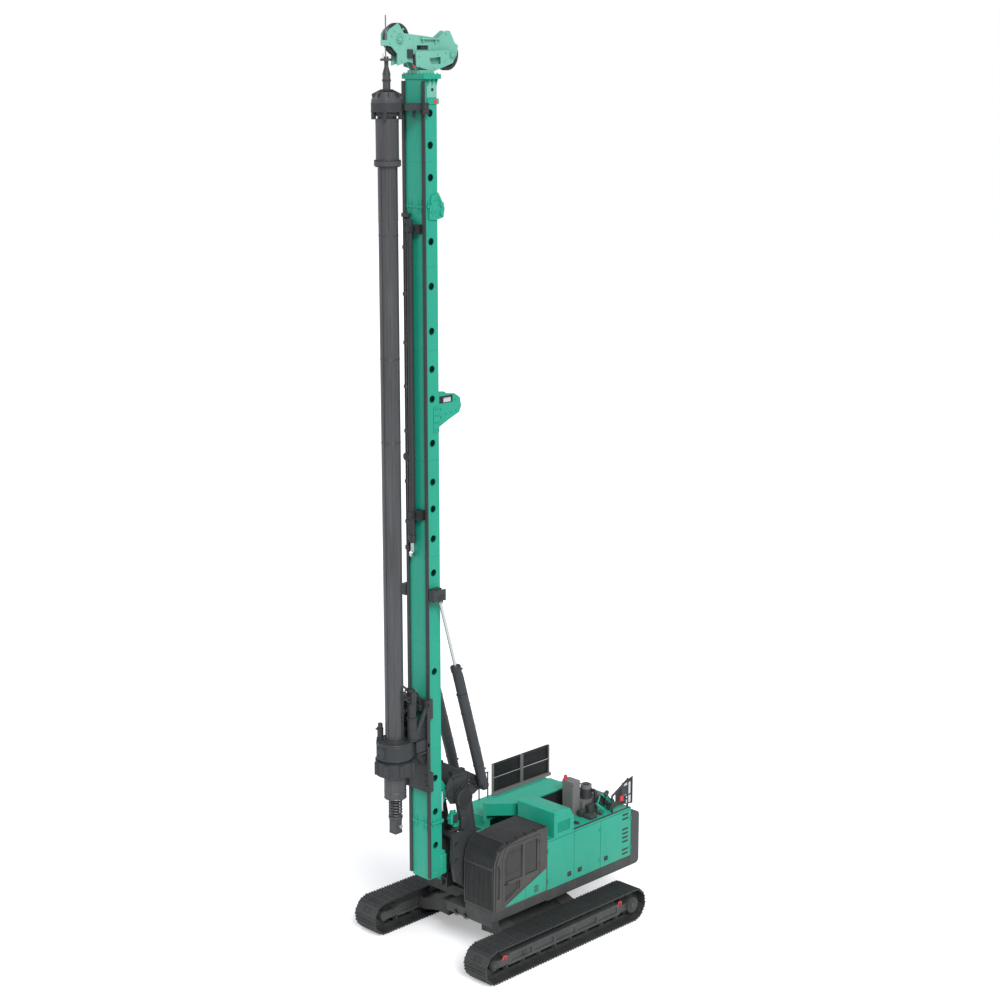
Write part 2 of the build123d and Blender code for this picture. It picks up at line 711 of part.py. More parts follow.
def boom_tube():
    """The cross tube between the arms, with the two ears that hold the luff cylinder's eye."""
    tube_y = luff_eye[0] - 165
    ear = side_profile(((tube_y, luff_eye[1] - 80), (luff_eye[0] + 60, luff_eye[1] - 70),
                        (luff_eye[0] + 60, luff_eye[1] + 70), (tube_y, luff_eye[1] + 80)), 56, 90)
    return cylinder_x(-arm_in, arm_in, tube_y, luff_eye[1], 80) + both(ear)


def link_rods():
    foot = (boom_foot[0] + link_offset[0], boom_foot[1] + link_offset[1])
    top = (boom_top[0] + link_offset[0], boom_top[1] + link_offset[1])
    rods = []
    for side in (-1, 1):
        x0, x1 = sorted((side * 210, side * 280))
        rod = bar(side * 245, foot, top, 34)
        rod += cylinder_x(x0, x1, *foot, 85) + cylinder_x(x0, x1, *top, 85)
        rod -= cylinder_x(x0 - 1, x1 + 1, *foot, 45 + pin_fit)
        rod -= cylinder_x(x0 - 1, x1 + 1, *top, 45 + pin_fit)
        rods.append(rod)
    return rods


def head_frame():
    top = (boom_top[0] + link_offset[0], boom_top[1] + link_offset[1])
    b, c, e = boom_top, mast_pivot, cylinder_base
    outline = ((c[0] - 110, c[1] - 60), (c[0] - 110, c[1] + 200), (c[0] + 60, c[1] + 470),
               (c[0] + 430, c[1] + 470), (e[0] - 200, e[1] + 290), (e[0] + 60, e[1] + 120),
               (e[0] + 130, e[1] - 60), (top[0] + 100, top[1] - 130),
               (b[0], b[1] - 180), (c[0] + 20, c[1] - 260))
    plate = side_profile(outline, head_in, head_in + head_t)
    head = both(plate)
    head += cylinder_x(-head_in - 10, head_in + 10, *c, pin_r)
    head += cylinder_x(-head_in - 10, head_in + 10, *top, 45)
    outside = arm_in + arm_t + side_gap
    stub = cylinder_x(head_in, outside + 10, *b, pin_r) + cylinder_x(head_in, arm_in - side_gap, *b, 110)
    stub += cylinder_x(outside, outside + 50, *b, 230)
    stub += cylinder_x(head_in, mast_cylinder_x + 70, *e, pin_r)
    stub += box(head_in + 10, arm_in + 30, c[0], c[0] + 360, c[1] + 400, c[1] + 520)
    head += both(stub)
    head += box(-head_in - 10, head_in + 10, c[0] + 190, top[0] - 130, c[1] - 110, c[1] - 60)
    return head


def luff_barrel():
    barrel = bar(0, luff_base, luff_eye, 85, 0, 1130)
    barrel -= bar(0, luff_base, luff_eye, 62, 120, 1090)
    barrel -= bar(0, luff_base, luff_eye, 45 + seat_gap, 1000, 1131)
    barrel += cylinder_x(-80, 80, *luff_base, 90)
    return barrel - cylinder_x(-90, 90, *luff_base, 45 + pin_fit)


def luff_rod():
    rod = bar(0, luff_base, luff_eye, 45, 620)
    return rod + cylinder_x(-50, 50, *luff_eye, 60)


def mast_barrels():
    length = math.dist(cylinder_base, cylinder_eye)
    barrels = []
    for side in (-1, 1):
        x = side * mast_cylinder_x
        barrel = bar(x, cylinder_base, cylinder_eye, 118, 60, length - 2450)
        barrel += bar(x, cylinder_base, cylinder_eye, 108, 60, length - 1770)
        barrel -= bar(x, cylinder_base, cylinder_eye, 75, 220, length - 1830)
        barrel -= bar(x, cylinder_base, cylinder_eye, mast_rod_r + seat_gap, 220, length - 1700)
        barrel += cylinder_x(x - 50, x + 50, *cylinder_base, 120)
        barrel -= cylinder_x(x - 51, x + 51, *cylinder_base, pin_r + pin_fit)
        barrels.append(barrel)
    return barrels


def mast_rods():
    rods = []
    for side in (-1, 1):
        x = side * mast_cylinder_x
        rod = bar(x, cylinder_base, cylinder_eye, mast_rod_r, 1500)
        rod += cylinder_x(x - 45, x + 45, *cylinder_eye, 80)
        rods.append(rod)
    return rods


# Mast

def mast_section(z0, z1):
    rear_y_mast = mast_front_y + mast_depth
    tube = box(-mast_half_x, mast_half_x, mast_front_y, rear_y_mast, z0, z1)
    tube -= box(-mast_half_x + mast_wall, mast_half_x - mast_wall, mast_front_y + mast_wall,
                rear_y_mast - mast_wall, z0 - 1, z1 + 1)
    for z in side_holes:
        if z0 < z < z1:
            tube -= cylinder_x(-mast_half_x - 1, mast_half_x + 1, side_hole_y, z, side_hole_r)
    return tube


def end_flange(z, up):
    """A thick plate round the tube's end, with the tube's own hollow through it."""
    z0, z1 = (z, z + 30) if up else (z - 30, z)
    rear = mast_front_y + mast_depth
    flange = box(-mast_half_x, mast_half_x, mast_front_y, rear + 30, z0, z1)
    return flange - box(-mast_half_x + 40, mast_half_x - 40, mast_front_y + 40, rear - 40, z0 - 1, z1 + 1)


def mast_lower():
    section = mast_section(mast_low, mast_joint_low) + end_flange(mast_joint_low, False)
    rear = mast_front_y + mast_depth
    section += side_profile(((rear - 5, mast_low), (rear + 130, mast_low), (rear + 130, mast_low + 560),
                             (rear - 5, mast_low + 640)), -mast_half_x + 30, mast_half_x - 30)
    return section + box(-mast_half_x, mast_half_x, mast_front_y, mast_front_y + mast_depth, mast_low,
                         mast_low + 20)


def mast_middle():
    section = mast_section(mast_joint_low, mast_joint_high)
    return section + end_flange(mast_joint_low, True) + end_flange(mast_joint_high, False)


def pivot_lugs():
    rear = mast_front_y + mast_depth
    c = mast_pivot
    lug = side_profile(((rear, c[1] - 420), (c[0] - 40, c[1] - 120), (c[0] + 120, c[1] - 60),
                        (c[0] + 120, c[1] + 60), (c[0], c[1] + 130), (rear, c[1] + 420)), 150, 210)
    lug += cylinder_x(210, 284, *c, 110) - cylinder_x(209, 285, *c, pin_r - 5)
    lug -= cylinder_x(149, 285, *c, pin_r + pin_fit)
    return lug, flipped(lug)


def cylinder_brackets():
    m = cylinder_eye
    inner_ear = mast_cylinder_x - 45 - side_gap
    outer_ear = mast_cylinder_x + 45 + side_gap
    low, high = m[1] - 60, m[1] + 190
    bracket = box(mast_half_x, inner_ear - 17, mast_front_y + 72, m[0] + 130, low, high)
    bracket += box(inner_ear - 18, inner_ear, mast_front_y - 40, m[0] + 130, low, high)
    bracket += box(inner_ear - 18, outer_ear + 30, mast_front_y - 40, mast_front_y + 36, low, high)
    bracket += box(outer_ear, outer_ear + 30, mast_front_y - 40, m[0] + 130, low, high)
    return bracket, flipped(bracket)


def winch_bracket():
    rear = mast_front_y + mast_depth
    side = ((rear, 13150), (rear + 560, 13080), (rear + 720, 12980), (rear + 760, 12780),
            (rear + 700, 12650), (rear + 420, 12540), (rear, 12350))
    cheek = side_profile(side, 150, 180)
    cheek += box(-1, 160, rear + 620, rear + 700, 12760, 12840)
    cheek += cylinder_x(-1, 160, rear + 380, 12820, 35)
    return both(cheek)


def mast_upper():
    section = mast_section(mast_joint_high, mast_top) + end_flange(mast_joint_high, True)
    rear = mast_front_y + mast_depth
    collar = box(-345, 345, mast_front_y - 20, rear + 60, mast_top - 100, mast_top)
    collar -= box(-mast_half_x + 40, mast_half_x - 40, mast_front_y + 40, rear - 40, mast_top - 101,
                  mast_top + 1)
    roller = side_profile(((rear - 1, 17470), (rear + 90, 17400), (rear + 160, 17240), (rear + 150, 17200),
                           (rear - 1, 17200)), 120, 150)
    roller += cylinder_x(-1, 130, rear + 90, 17290, 60)
    ear = side_profile(((-2390, 17390), (rear, 17450), (-2110, 17300), (-2020, 17120), (-2060, 16920),
                        (-2260, 16880), (-2470, 16900), (-2460, 17080)),
                       mast_half_x + seat_gap, mast_half_x + 34)
    ear += box(mast_half_x - 5, mast_half_x + 30, -2370, rear - 20, mast_joint_high + 60, 17340)
    for z in (17020, 17200):
        ear += cylinder_x(mast_half_x - 120, mast_half_x + 50, rear + 85, z, 45)
    return section + collar + both(roller) + both(ear)


def mast_rails():
    rails = []
    for side in (-1, 1):
        x0, x1 = sorted((side * rail_in, side * rail_out))
        rails.append(box(x0, x1, mast_front_y - rail_t, mast_front_y, mast_low + 60, mast_top - 140))
    return rails


def crowd_barrel():
    y = mast_front_y - 95
    barrel = cylinder_z(-70, y, 9900, 16900, 68)
    barrel -= cylinder_z(-70, y, 9899, 16800, 42 + seat_gap)
    for z in (16700, 10500):
        clamp = box(-160, 20, mast_front_y - 175, mast_front_y, z - 60, z + 60)
        barrel += clamp - cylinder_z(-70, y, z - 61, z + 61, 60)
    return barrel


def crowd_rod():
    y = mast_front_y - 95
    return cylinder_z(-70, y, 9640, 16600, 42) + cylinder_x(-105, -35, y, 9610, 75)


def mast_pipes():
    pipes = []
    for x in (-184, -219):
        pipes.append(cylinder_z(x, mast_front_y - 14.3, 9900, 16700, 14))
    return pipes


def cathead():
    y0, z0 = front_sheave_y(), front_sheave_z
    ry, rz = rear_sheave
    neck = box(-200, 200, mast_front_y + 10, mast_front_y + mast_depth - 10, mast_top, mast_top + 80)
    outline = ((y0 - 60, z0 - 300), (y0 - 220, z0 - 150), (y0 - 330, z0 - 130),
               (y0 - 330, z0 + 110), (y0 - 260, z0 + 200),
               (y0 - 30, z0 + 320), (y0 + 130, z0 + 120),
               (y0 + 600, z0 + 80), (ry - 300, rz + 330), (ry - 60, rz + 490), (ry + 30, rz + 480),
               (ry + 180, rz + 230), (ry + 270, rz + 190), (ry + 230, rz + 10), (ry + 110, rz - 180),
               (-2150, mast_top + 60), (-2600, mast_top + 60), (-2720, mast_top + 220), (-2840, z0 - 450),
               (y0 - 60, z0 - 530))
    plate = side_profile(outline, 75, 105)
    plate -= side_profile(((y0 + 480, z0 - 120), (y0 + 810, z0 - 120), (y0 + 810, z0 - 210),
                           (y0 + 480, z0 - 210)), 74, 106)
    lower = side_profile(((-2720, z0 - 250), (ry - 160, rz + 90), (ry + 140, rz), (ry + 10, rz - 180),
                          (-2220, mast_top + 50), (-2700, mast_top + 150)), 180, 205)
    lower -= side_profile(((-2340, z0 - 380), (-2010, z0 - 350), (-2010, z0 - 500), (-2290, z0 - 500)),
                          179, 206)
    head = both(plate + lower) + neck
    head += box(-80, 80, -2560, -2180, mast_top + 60, mast_top + 300)
    head += box(76, 104, y0 - 500, y0 - 320, z0 - 130, z0 - 20)
    for y, z in ((y0, z0), rear_sheave):
        head += cylinder_x(-105, 105, y, z, 50)
    head += both(box(100, 190, ry - 360, ry - 300, rz - 60, rz + 20))
    return head + cylinder_z(90, y0 - 370, z0 - 40, z0 + 480, 12)


def front_sheave_y():
    return kelly_y + groove_r


def sheave(y, z):
    rim = ((-22, 50 + pin_fit), (-22, 265), (-45, 265), (-45, sheave_r), (0, groove_r), (45, sheave_r),
           (45, 265), (22, 265), (22, 50 + pin_fit))
    face = Plane((0, y, z), x_dir=(1, 0, 0), z_dir=(0, -1, 0)) * Polygon(*rim, align=None)
    return revolve(face, Axis((0, y, z), (1, 0, 0)), 360)


# Crowd sledge, rotary drive and kelly bar

def sledge():
    y = mast_front_y - rail_t - slide_gap
    plate = box(-rail_out, rail_out, y - 60, y, sledge_low, sledge_high)
    plate -= box(-230, 230, y - 61, y + 1, sledge_low + 900, sledge_high - 250)
    shoes = []
    for z0 in (sledge_low, sledge_high - 450):
        shoe = box(rail_out + slide_gap, rail_out + shoe_wall, y - 60, mast_front_y + 60, z0, z0 + 450)
        shoe += box(rail_out - 40, rail_out + shoe_wall, y - 60, y, z0, z0 + 450)
        shoe += box(mast_half_x + slide_gap + 4, rail_out + shoe_wall, mast_front_y + slide_gap,
                    mast_front_y + 60, z0, z0 + 450)
        shoes.append(shoe)
    link = box(rail_out + slide_gap, rail_out + shoe_wall, y - 60, y, sledge_low + 440, sledge_high - 440)
    link += box(rail_out - 40, rail_out + 10, y - 60, y, sledge_low + 440, sledge_high - 440)
    frame = plate + both(shoes[0]) + both(shoes[1]) + both(link)
    front, bend = kelly_y + 290, kelly_y + 375
    arm = side_profile(((y - 30, sledge_low + 600), (bend, drive_top - 380), (front, drive_top - 380),
                        (front, drive_top - 15), (bend, drive_top - 15), (bend + 90, drive_top + 300),
                        (y - 30, sledge_high - 150)), 235, 275)
    arm -= cylinder_z(0, kelly_y, drive_top - 400, drive_top, drive_ring_r + seat_gap)
    return frame + both(arm)


def rotary_drive():
    """Two ring housings, the lower one with lobes, and two motors with their gearboxes on top."""
    ring_low = drive_top - 380
    housing = cylinder_z(0, kelly_y, ring_low, drive_top, drive_ring_r)
    housing += cylinder_z(0, kelly_y, ring_low - 60, ring_low, drive_ring_r - 50)
    lobes = extrude(Plane((0, kelly_y, ring_low - 380)) * RegularPolygon(lobe_ring_r, 16), 320, dir=(0, 0, 1))
    housing += lobes
    housing += box(-230, 230, kelly_y + 250, mast_front_y - rail_t - slide_gap - 60, drive_top - 360,
                   drive_top - 20)
    for x in (-285, 285):
        y = kelly_y + 262
        housing += cylinder_z(x, y, drive_top - 10, drive_top + 520, 108)
        housing += cylinder_z(x, y, drive_top + 510, drive_top + 860, 92)
        housing += box(x - 78, x + 78, y - 70, y + 70, drive_top + 850, drive_top + 1130)
    return housing - cylinder_z(0, kelly_y, ring_low - 381, drive_top + 600, sleeve_r + seat_gap)


def drive_sleeve():
    sleeve = pipe_z(0, kelly_y, sleeve_low, drive_top + 40, sleeve_r, sleeve_bore_r)
    for i in range(3):
        key = box(-30, 30, kelly_r + 5, sleeve_bore_r + 10, sleeve_low + 200, drive_top - 100)
        sleeve += Pos(0, kelly_y, 0) * Rot(0, 0, 30 + i * 120) * key
    return sleeve


def kelly_guide():
    y = mast_front_y - rail_t - slide_gap
    ring = pipe_z(0, kelly_y, guide_low + 60, guide_high, 330, kelly_r + seat_gap)
    ring += pipe_z(0, kelly_y, guide_low - 20, guide_low + 61, 275, kelly_r + seat_gap)
    arm = box(-330, 330, kelly_y + 200, y, guide_high - 150, guide_high - 15)
    arm -= cylinder_z(0, kelly_y, guide_low, guide_high, kelly_r + seat_gap)
    shoe = box(rail_out - 60, rail_out + 50, y - 60, y, guide_low, guide_high)
    shoe += box(rail_out + slide_gap, rail_out + 50, y - 60, mast_front_y + 60, guide_low, guide_high)
    shoe += box(mast_half_x + slide_gap + 4, rail_out + 50, mast_front_y + slide_gap, mast_front_y + 60,
                guide_low, guide_high)
    return ring + arm + both(shoe)


def kelly_outer():
    tube = cylinder_z(0, kelly_y, kelly_low, kelly_head, kelly_r)
    tube += cylinder_z(0, kelly_y, 18140, 19000, head_sleeve_r - 20)
    tube += cylinder_z(0, kelly_y, 18040, 18140, head_sleeve_r + 20)
    head = cylinder_z(0, kelly_y, guide_high + 5, kelly_head, 322)
    tube += chamfer(head.edges().group_by(Axis.Z)[-1], 150, 110)
    for i in range(rib_count):
        rib = box(-rib_width / 2, rib_width / 2, kelly_r - 10, kelly_r + rib_height, kelly_low + 50, 18050)
        tube += Pos(0, kelly_y, 0) * Rot(0, 0, i * 360 / rib_count) * rib
    tube -= cylinder_z(0, kelly_y, kelly_low + 150, kelly_head - 100, kelly_bore_r)
    tube -= cylinder_z(0, kelly_y, kelly_low - 1, kelly_low + 151, inner_r + seat_gap)
    return tube


def spring_coil(z):
    """One coil of the damper spring, as a flat ring round the core with its edges taken off."""
    r = spring_r + spring_wire_r
    ring = extrude(Plane((0, kelly_y, z - spring_wire_r)) * RegularPolygon(r, 16), 2 * spring_wire_r)
    ring = chamfer(ring.edges().group_by(Axis.Z)[0] + ring.edges().group_by(Axis.Z)[-1], spring_wire_r * 0.6)
    return ring - cylinder_z(0, kelly_y, z - spring_wire_r - 1, z + spring_wire_r + 1,
                             spring_core_r + seat_gap)


def kelly_spring():
    coils = 6
    pitch = (spring_high - spring_low) / coils
    return [spring_coil(spring_low + (i + 0.5) * pitch) for i in range(coils)]


def kelly_inner():
    tube = cylinder_z(0, kelly_y, spring_high, 19000, inner_r)
    tube -= cylinder_z(0, kelly_y, spring_high + 60, 19001, 120)
    core = cylinder_z(0, kelly_y, spring_low - 40, spring_high + 10, spring_core_r)
    core += cylinder_z(0, kelly_y, spring_low - 60, spring_low - 10, 160)
    stub = box(-100, 100, kelly_y - 100, kelly_y + 100, stub_low, spring_low - 50)
    stub -= cylinder_x(-101, 101, kelly_y, stub_low + 190, 30)
    return tube + core + stub


def rope_swivel():
    """The swivel under the front sheave, with its guard disc clear of the sheave and of the head's plates."""
    low, top = kelly_head + seat_gap, front_sheave_z - sheave_r - 55
    body = cylinder_z(0, kelly_y, low, low + 350, 80) + cylinder_z(0, kelly_y, low + 340, low + 390, 62)
    body += cylinder_z(0, kelly_y, low + 380, top - 30, 44)
    return body + cylinder_z(0, kelly_y, top - 45, top, 125)


def main():
    os.makedirs("parts", exist_ok=True)
    write("car_body", car_body())
    for side, name in ((1, "left"), (-1, "right")):
        write(f"track_{name}", track(side))
        write(f"track_frame_{name}", track_frame(side))
    write("track_wheels", *track_wheels(), *track_rollers())
    write("slew_platform", slew_platform())
    write("main_plates", *main_plates())
    write("winch_frame", winch_frame())
    write("main_winch_drum", winch_drum())
    write("left_house", left_house())
    write("right_house", right_house())
    ends = door_seams[1:] + (louvre_door_end,)
    groups = ((), (), ((1400, 2), (1710, 4), (2290, 2)))
    for i, (y0, y1, louvres) in enumerate(zip(door_seams, ends, groups)):
        write(f"service_door_{i + 1}", service_door(y0, y1, louvres, y0 if i == 0 else y1))
    write("cross_housing", cross_housing())
    write("counterweight", counterweight())
    write("engine_block", engine_block())
    write("exhaust_box", exhaust_box())
    write("deck_rails", *deck_rails())
    write("guard_panels", *guard_panels())
    write("cab_shell", cab_shell())
    write("cab_side_panel", cab_side_panel())
    write("cab_glass", *cab_windows(seat_gap))
    write("cab_door", cab_door())
    write("cab_door_glass", *door_windows(seat_gap))
    write("cab_guard", *cab_guard())
    write("operator_seat", operator_seat())
    write("boom_arms", *boom_arms())
    write("boom_tube", boom_tube())
    write("link_rods", *link_rods())
    write("head_frame", head_frame())
    write("luff_barrel", luff_barrel())
    write("luff_rod", luff_rod())
    write("mast_cylinder_barrels", *mast_barrels())
    write("mast_cylinder_rods", *mast_rods())
    write("mast_lower", mast_lower())
    write("mast_middle", mast_middle())
    write("mast_upper", mast_upper())
    write("mast_pivot_lugs", *pivot_lugs())
    write("mast_cylinder_brackets", *cylinder_brackets())
    write("winch_bracket", winch_bracket())
    write("mast_rails", *mast_rails(), *mast_pipes())
    write("crowd_barrel", crowd_barrel())
    write("crowd_rod", crowd_rod())
    write("cathead", cathead())
    write("front_sheave", sheave(front_sheave_y(), front_sheave_z))
    write("rear_sheave", sheave(*rear_sheave))
    write("crowd_sledge", sledge())
    write("rotary_drive", rotary_drive())
    write("drive_sleeve", drive_sleeve())
    write("kelly_guide", kelly_guide())
    write("kelly_outer", kelly_outer())
    write("kelly_inner", kelly_inner())
    write("kelly_spring", *kelly_spring())
    write("rope_swivel", rope_swivel())


main()
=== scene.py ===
import math

import bmesh
import bpy
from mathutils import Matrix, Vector


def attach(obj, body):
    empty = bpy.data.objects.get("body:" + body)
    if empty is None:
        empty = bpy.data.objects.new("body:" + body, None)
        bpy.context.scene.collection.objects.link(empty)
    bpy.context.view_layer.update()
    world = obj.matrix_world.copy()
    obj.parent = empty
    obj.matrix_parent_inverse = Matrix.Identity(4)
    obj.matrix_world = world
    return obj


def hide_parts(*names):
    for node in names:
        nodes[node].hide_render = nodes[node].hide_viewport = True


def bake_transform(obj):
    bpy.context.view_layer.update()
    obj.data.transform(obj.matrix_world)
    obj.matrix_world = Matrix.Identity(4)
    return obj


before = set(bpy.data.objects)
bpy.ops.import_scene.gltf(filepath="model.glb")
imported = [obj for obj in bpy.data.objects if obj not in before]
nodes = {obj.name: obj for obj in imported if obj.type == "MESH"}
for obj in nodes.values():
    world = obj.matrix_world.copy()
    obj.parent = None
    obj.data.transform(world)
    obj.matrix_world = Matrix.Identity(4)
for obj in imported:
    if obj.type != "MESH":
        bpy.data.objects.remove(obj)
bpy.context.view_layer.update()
print("frame loaded:", len(nodes), "nodes")

# Camera and light

cameraSizes = {
    "place": (30.528, -30.844, 20.11),
    "turn": 44.747,            # degrees round from looking along +Y
    "down": 12.614,            # degrees below the horizon
    "lens": 70.2,
    "sensor": 36.0,
}

lightSizes = {
    "sunPower": 2.7,
    "sunAngle": 24.0,          # degrees across, for soft shadow edges
    "sunFrom": (0.8, -0.42, 0.72),
    "fillPower": 0.55,
    "fillAngle": 40.0,
    "fillFrom": (-0.75, -0.5, 0.45),
    "skyColour": (0.93, 0.95, 1.0),
    "skyPower": 0.62,
    "floorHalf": 160.0,
    "floorColour": (0.8, 0.8, 0.81),
    "floorLift": 0.34,         # how much of the floor's brightness doesn't come from the lamps
}


def makeCamera(s):
    data = bpy.data.cameras.new("photoCamera")
    data.sensor_fit = "HORIZONTAL"
    data.sensor_width = s["sensor"]
    data.lens = s["lens"]
    data.clip_end = 600.0
    camera = bpy.data.objects.new("photoCamera", data)
    bpy.context.scene.collection.objects.link(camera)
    turn, down = math.radians(s["turn"]), math.radians(s["down"])
    look = Vector((-math.sin(turn) * math.cos(down), math.cos(turn) * math.cos(down), -math.sin(down)))
    camera.location = s["place"]
    camera.rotation_euler = look.to_track_quat("-Z", "Y").to_euler()
    bpy.context.scene.camera = camera


def makeSun(name, power, angle, fromWay):
    data = bpy.data.lights.new(name, "SUN")
    data.energy = power
    data.angle = math.radians(angle)
    lamp = bpy.data.objects.new(name, data)
    bpy.context.scene.collection.objects.link(lamp)
    lamp.rotation_euler = Vector(fromWay).to_track_quat("Z", "Y").to_euler()


# Nodes are added by kind; i0, i1 and so on are inputs by number, the other words are inputs by name
def addNode(tree, kind, settings=None, **inputs):
    made = tree.nodes.new(kind)
    for key, value in (settings or {}).items():
        setattr(made, key, value)
    for key, value in inputs.items():
        numbered = key[0] == "i" and key[1:].isdigit()
        socket = made.inputs[int(key[1:]) if numbered else key.replace("_", " ")]
        if isinstance(value, bpy.types.NodeSocket):
            tree.links.new(value, socket)
        else:
            socket.default_value = value
    return made


def seenByEye(tree):
    # 1 for camera and glass rays, so that both see the white studio
    path = addNode(tree, "ShaderNodeLightPath")
    first = addNode(tree, "ShaderNodeMath", {"operation": "MAXIMUM"},
                    i0=path.outputs["Is Camera Ray"], i1=path.outputs["Is Transmission Ray"])
    return first.outputs[0]


def makeSky(s):
    world = bpy.data.worlds.new("studioSky")
    world.use_nodes = True
    bpy.context.scene.world = world
    tree = world.node_tree
    tree.nodes.clear()
    soft = addNode(tree, "ShaderNodeBackground", Color=(*s["skyColour"], 1.0), Strength=s["skyPower"])
    white = addNode(tree, "ShaderNodeBackground", Color=(1.0, 1.0, 1.0, 1.0), Strength=1.0)
    mix = addNode(tree, "ShaderNodeMixShader", i0=seenByEye(tree), i1=soft.outputs[0], i2=white.outputs[0])
    addNode(tree, "ShaderNodeOutputWorld", Surface=mix.outputs[0])


def makeFloor(s):
    half = s["floorHalf"]
    mesh = bpy.data.meshes.new("studioFloor")
    mesh.from_pydata([(-half, -half, 0), (half, -half, 0), (half, half, 0), (-half, half, 0)], [],
                     [(0, 1, 2, 3)])
    material = bpy.data.materials.new("studioFloor")
    material.use_nodes = True
    tree = material.node_tree
    tree.nodes.clear()
    matt = addNode(tree, "ShaderNodeBsdfDiffuse", Color=(*s["floorColour"], 1.0))
    glow = addNode(tree, "ShaderNodeEmission", Color=(1.0, 1.0, 1.0, 1.0), Strength=s["floorLift"])
    both = addNode(tree, "ShaderNodeAddShader", i0=matt.outputs[0], i1=glow.outputs[0])
    mix = addNode(tree, "ShaderNodeMixShader", i0=seenByEye(tree), i1=matt.outputs[0], i2=both.outputs[0])
    addNode(tree, "ShaderNodeOutputMaterial", Surface=mix.outputs[0])
    mesh.materials.append(material)
    floor = bpy.data.objects.new("studioFloor", mesh)
    bpy.context.scene.collection.objects.link(floor)


bpy.context.scene.view_settings.view_transform = "Standard"
makeCamera(cameraSizes)
makeSun("keySun", lightSizes["sunPower"], lightSizes["sunAngle"], lightSizes["sunFrom"])
makeSun("fillSun", lightSizes["fillPower"], lightSizes["fillAngle"], lightSizes["fillFrom"])
makeSky(lightSizes)
makeFloor(lightSizes)
print("camera, light and floor made")

# Materials

def newTree(name):
    material = bpy.data.materials.new(name)
    material.use_nodes = True
    material.node_tree.nodes.clear()
    return material, material.node_tree


def stretched(tree, scale=(1.0, 1.0, 1.0)):
    # object coordinates, stretched along the axes
    coords = addNode(tree, "ShaderNodeTexCoord")
    return addNode(tree, "ShaderNodeMapping", Vector=coords.outputs["Object"], Scale=scale).outputs[0]


def noise(tree, vector, scale, detail=3.0, rough=0.55):
    return addNode(tree, "ShaderNodeTexNoise", Vector=vector, Scale=scale, Detail=detail,
                   Roughness=rough).outputs["Fac"]


def spread(tree, value, low, high, toLow, toHigh):
    return addNode(tree, "ShaderNodeMapRange", Value=value, From_Min=low, From_Max=high, To_Min=toLow,
                   To_Max=toHigh).outputs[0]


def times(tree, a, b):
    return addNode(tree, "ShaderNodeMath", {"operation": "MULTIPLY", "use_clamp": True}, i0=a,
                   i1=b).outputs[0]


def blended(tree, factor, first, second):
    mix = tree.nodes.new("ShaderNodeMix")
    mix.data_type = "RGBA"
    for index, value in ((0, factor), (6, first), (7, second)):
        if isinstance(value, bpy.types.NodeSocket):
            tree.links.new(value, mix.inputs[index])
        else:
            mix.inputs[index].default_value = value if index == 0 else (*value, 1.0)
    return mix.outputs[2]


def heightShare(tree, top):
    # 1 on the ground, 0 from the height top up
    coords = addNode(tree, "ShaderNodeTexCoord")
    split = addNode(tree, "ShaderNodeSeparateXYZ", Vector=coords.outputs["Object"])
    return spread(tree, split.outputs["Z"], 0.0, top, 1.0, 0.0)


def dusted(tree, tone, dirt, s):
    # dust over a tone where the dirt lies, thinning out with height
    dust = times(tree, times(tree, dirt, heightShare(tree, s["dustTop"])), s["dust"])
    return blended(tree, dust, tone, s["dustColour"])


def finishShader(tree, colour, rough, height, bumpDepth, fixed):
    bump = addNode(tree, "ShaderNodeBump", Height=height, Strength=fixed.pop("bump", 0.3), Distance=bumpDepth)
    shader = tree.nodes.new("ShaderNodeBsdfPrincipled")
    tree.links.new(colour, shader.inputs["Base Color"])
    tree.links.new(rough, shader.inputs["Roughness"])
    tree.links.new(bump.outputs[0], shader.inputs["Normal"])
    for key, value in fixed.items():
        shader.inputs[key].default_value = value
    addNode(tree, "ShaderNodeOutputMaterial", Surface=shader.outputs[0])


# Painted steel: slow changes of tone, fine orange peel, rain streaks and dust near the ground
def paint(name, s):
    material, tree = newTree(name)
    plain = stretched(tree)
    patch = spread(tree, noise(tree, plain, s["patch"], 3.0), 0.3, 0.7, 0.0, 1.0)
    tone = blended(tree, patch, s["colour"], s["shade"])
    streak = spread(tree, noise(tree, stretched(tree, (9.0, 9.0, 0.45)), 1.6, 4.0), 0.52, 0.72,
                    0.0, s["streak"])
    tone = blended(tree, streak, tone, s["streakColour"])
    dirt = spread(tree, noise(tree, plain, 2.6, 7.0, 0.66), 0.38, 0.68, 0.25, 1.0)
    tone = dusted(tree, tone, dirt, s)
    fleck = spread(tree, noise(tree, plain, 38.0, 4.0, 0.7), 0.66, 0.74, 0.0, s["fleck"])
    tone = blended(tree, fleck, tone, s["fleckColour"])
    rough = spread(tree, noise(tree, plain, 6.0, 5.0), 0.3, 0.7, s["rough"] - 0.05, s["rough"] + 0.09)
    peel = noise(tree, plain, s["peel"], 2.0)
    finishShader(tree, tone, rough, peel, 0.0012, {
        "bump": 0.22, "Coat Weight": s["coat"], "Coat Roughness": 0.2, "Specular IOR Level": 0.32})
    return material


paintSizes = {"patch": 0.55, "streak": 0.16, "dustTop": 3.2, "dust": 0.2, "dustColour": (0.26, 0.24, 0.2),
              "fleck": 0.25, "fleckColour": (0.3, 0.32, 0.32), "rough": 0.42, "peel": 160.0, "coat": 0.12,
              "streakColour": (0.1, 0.1, 0.09)}

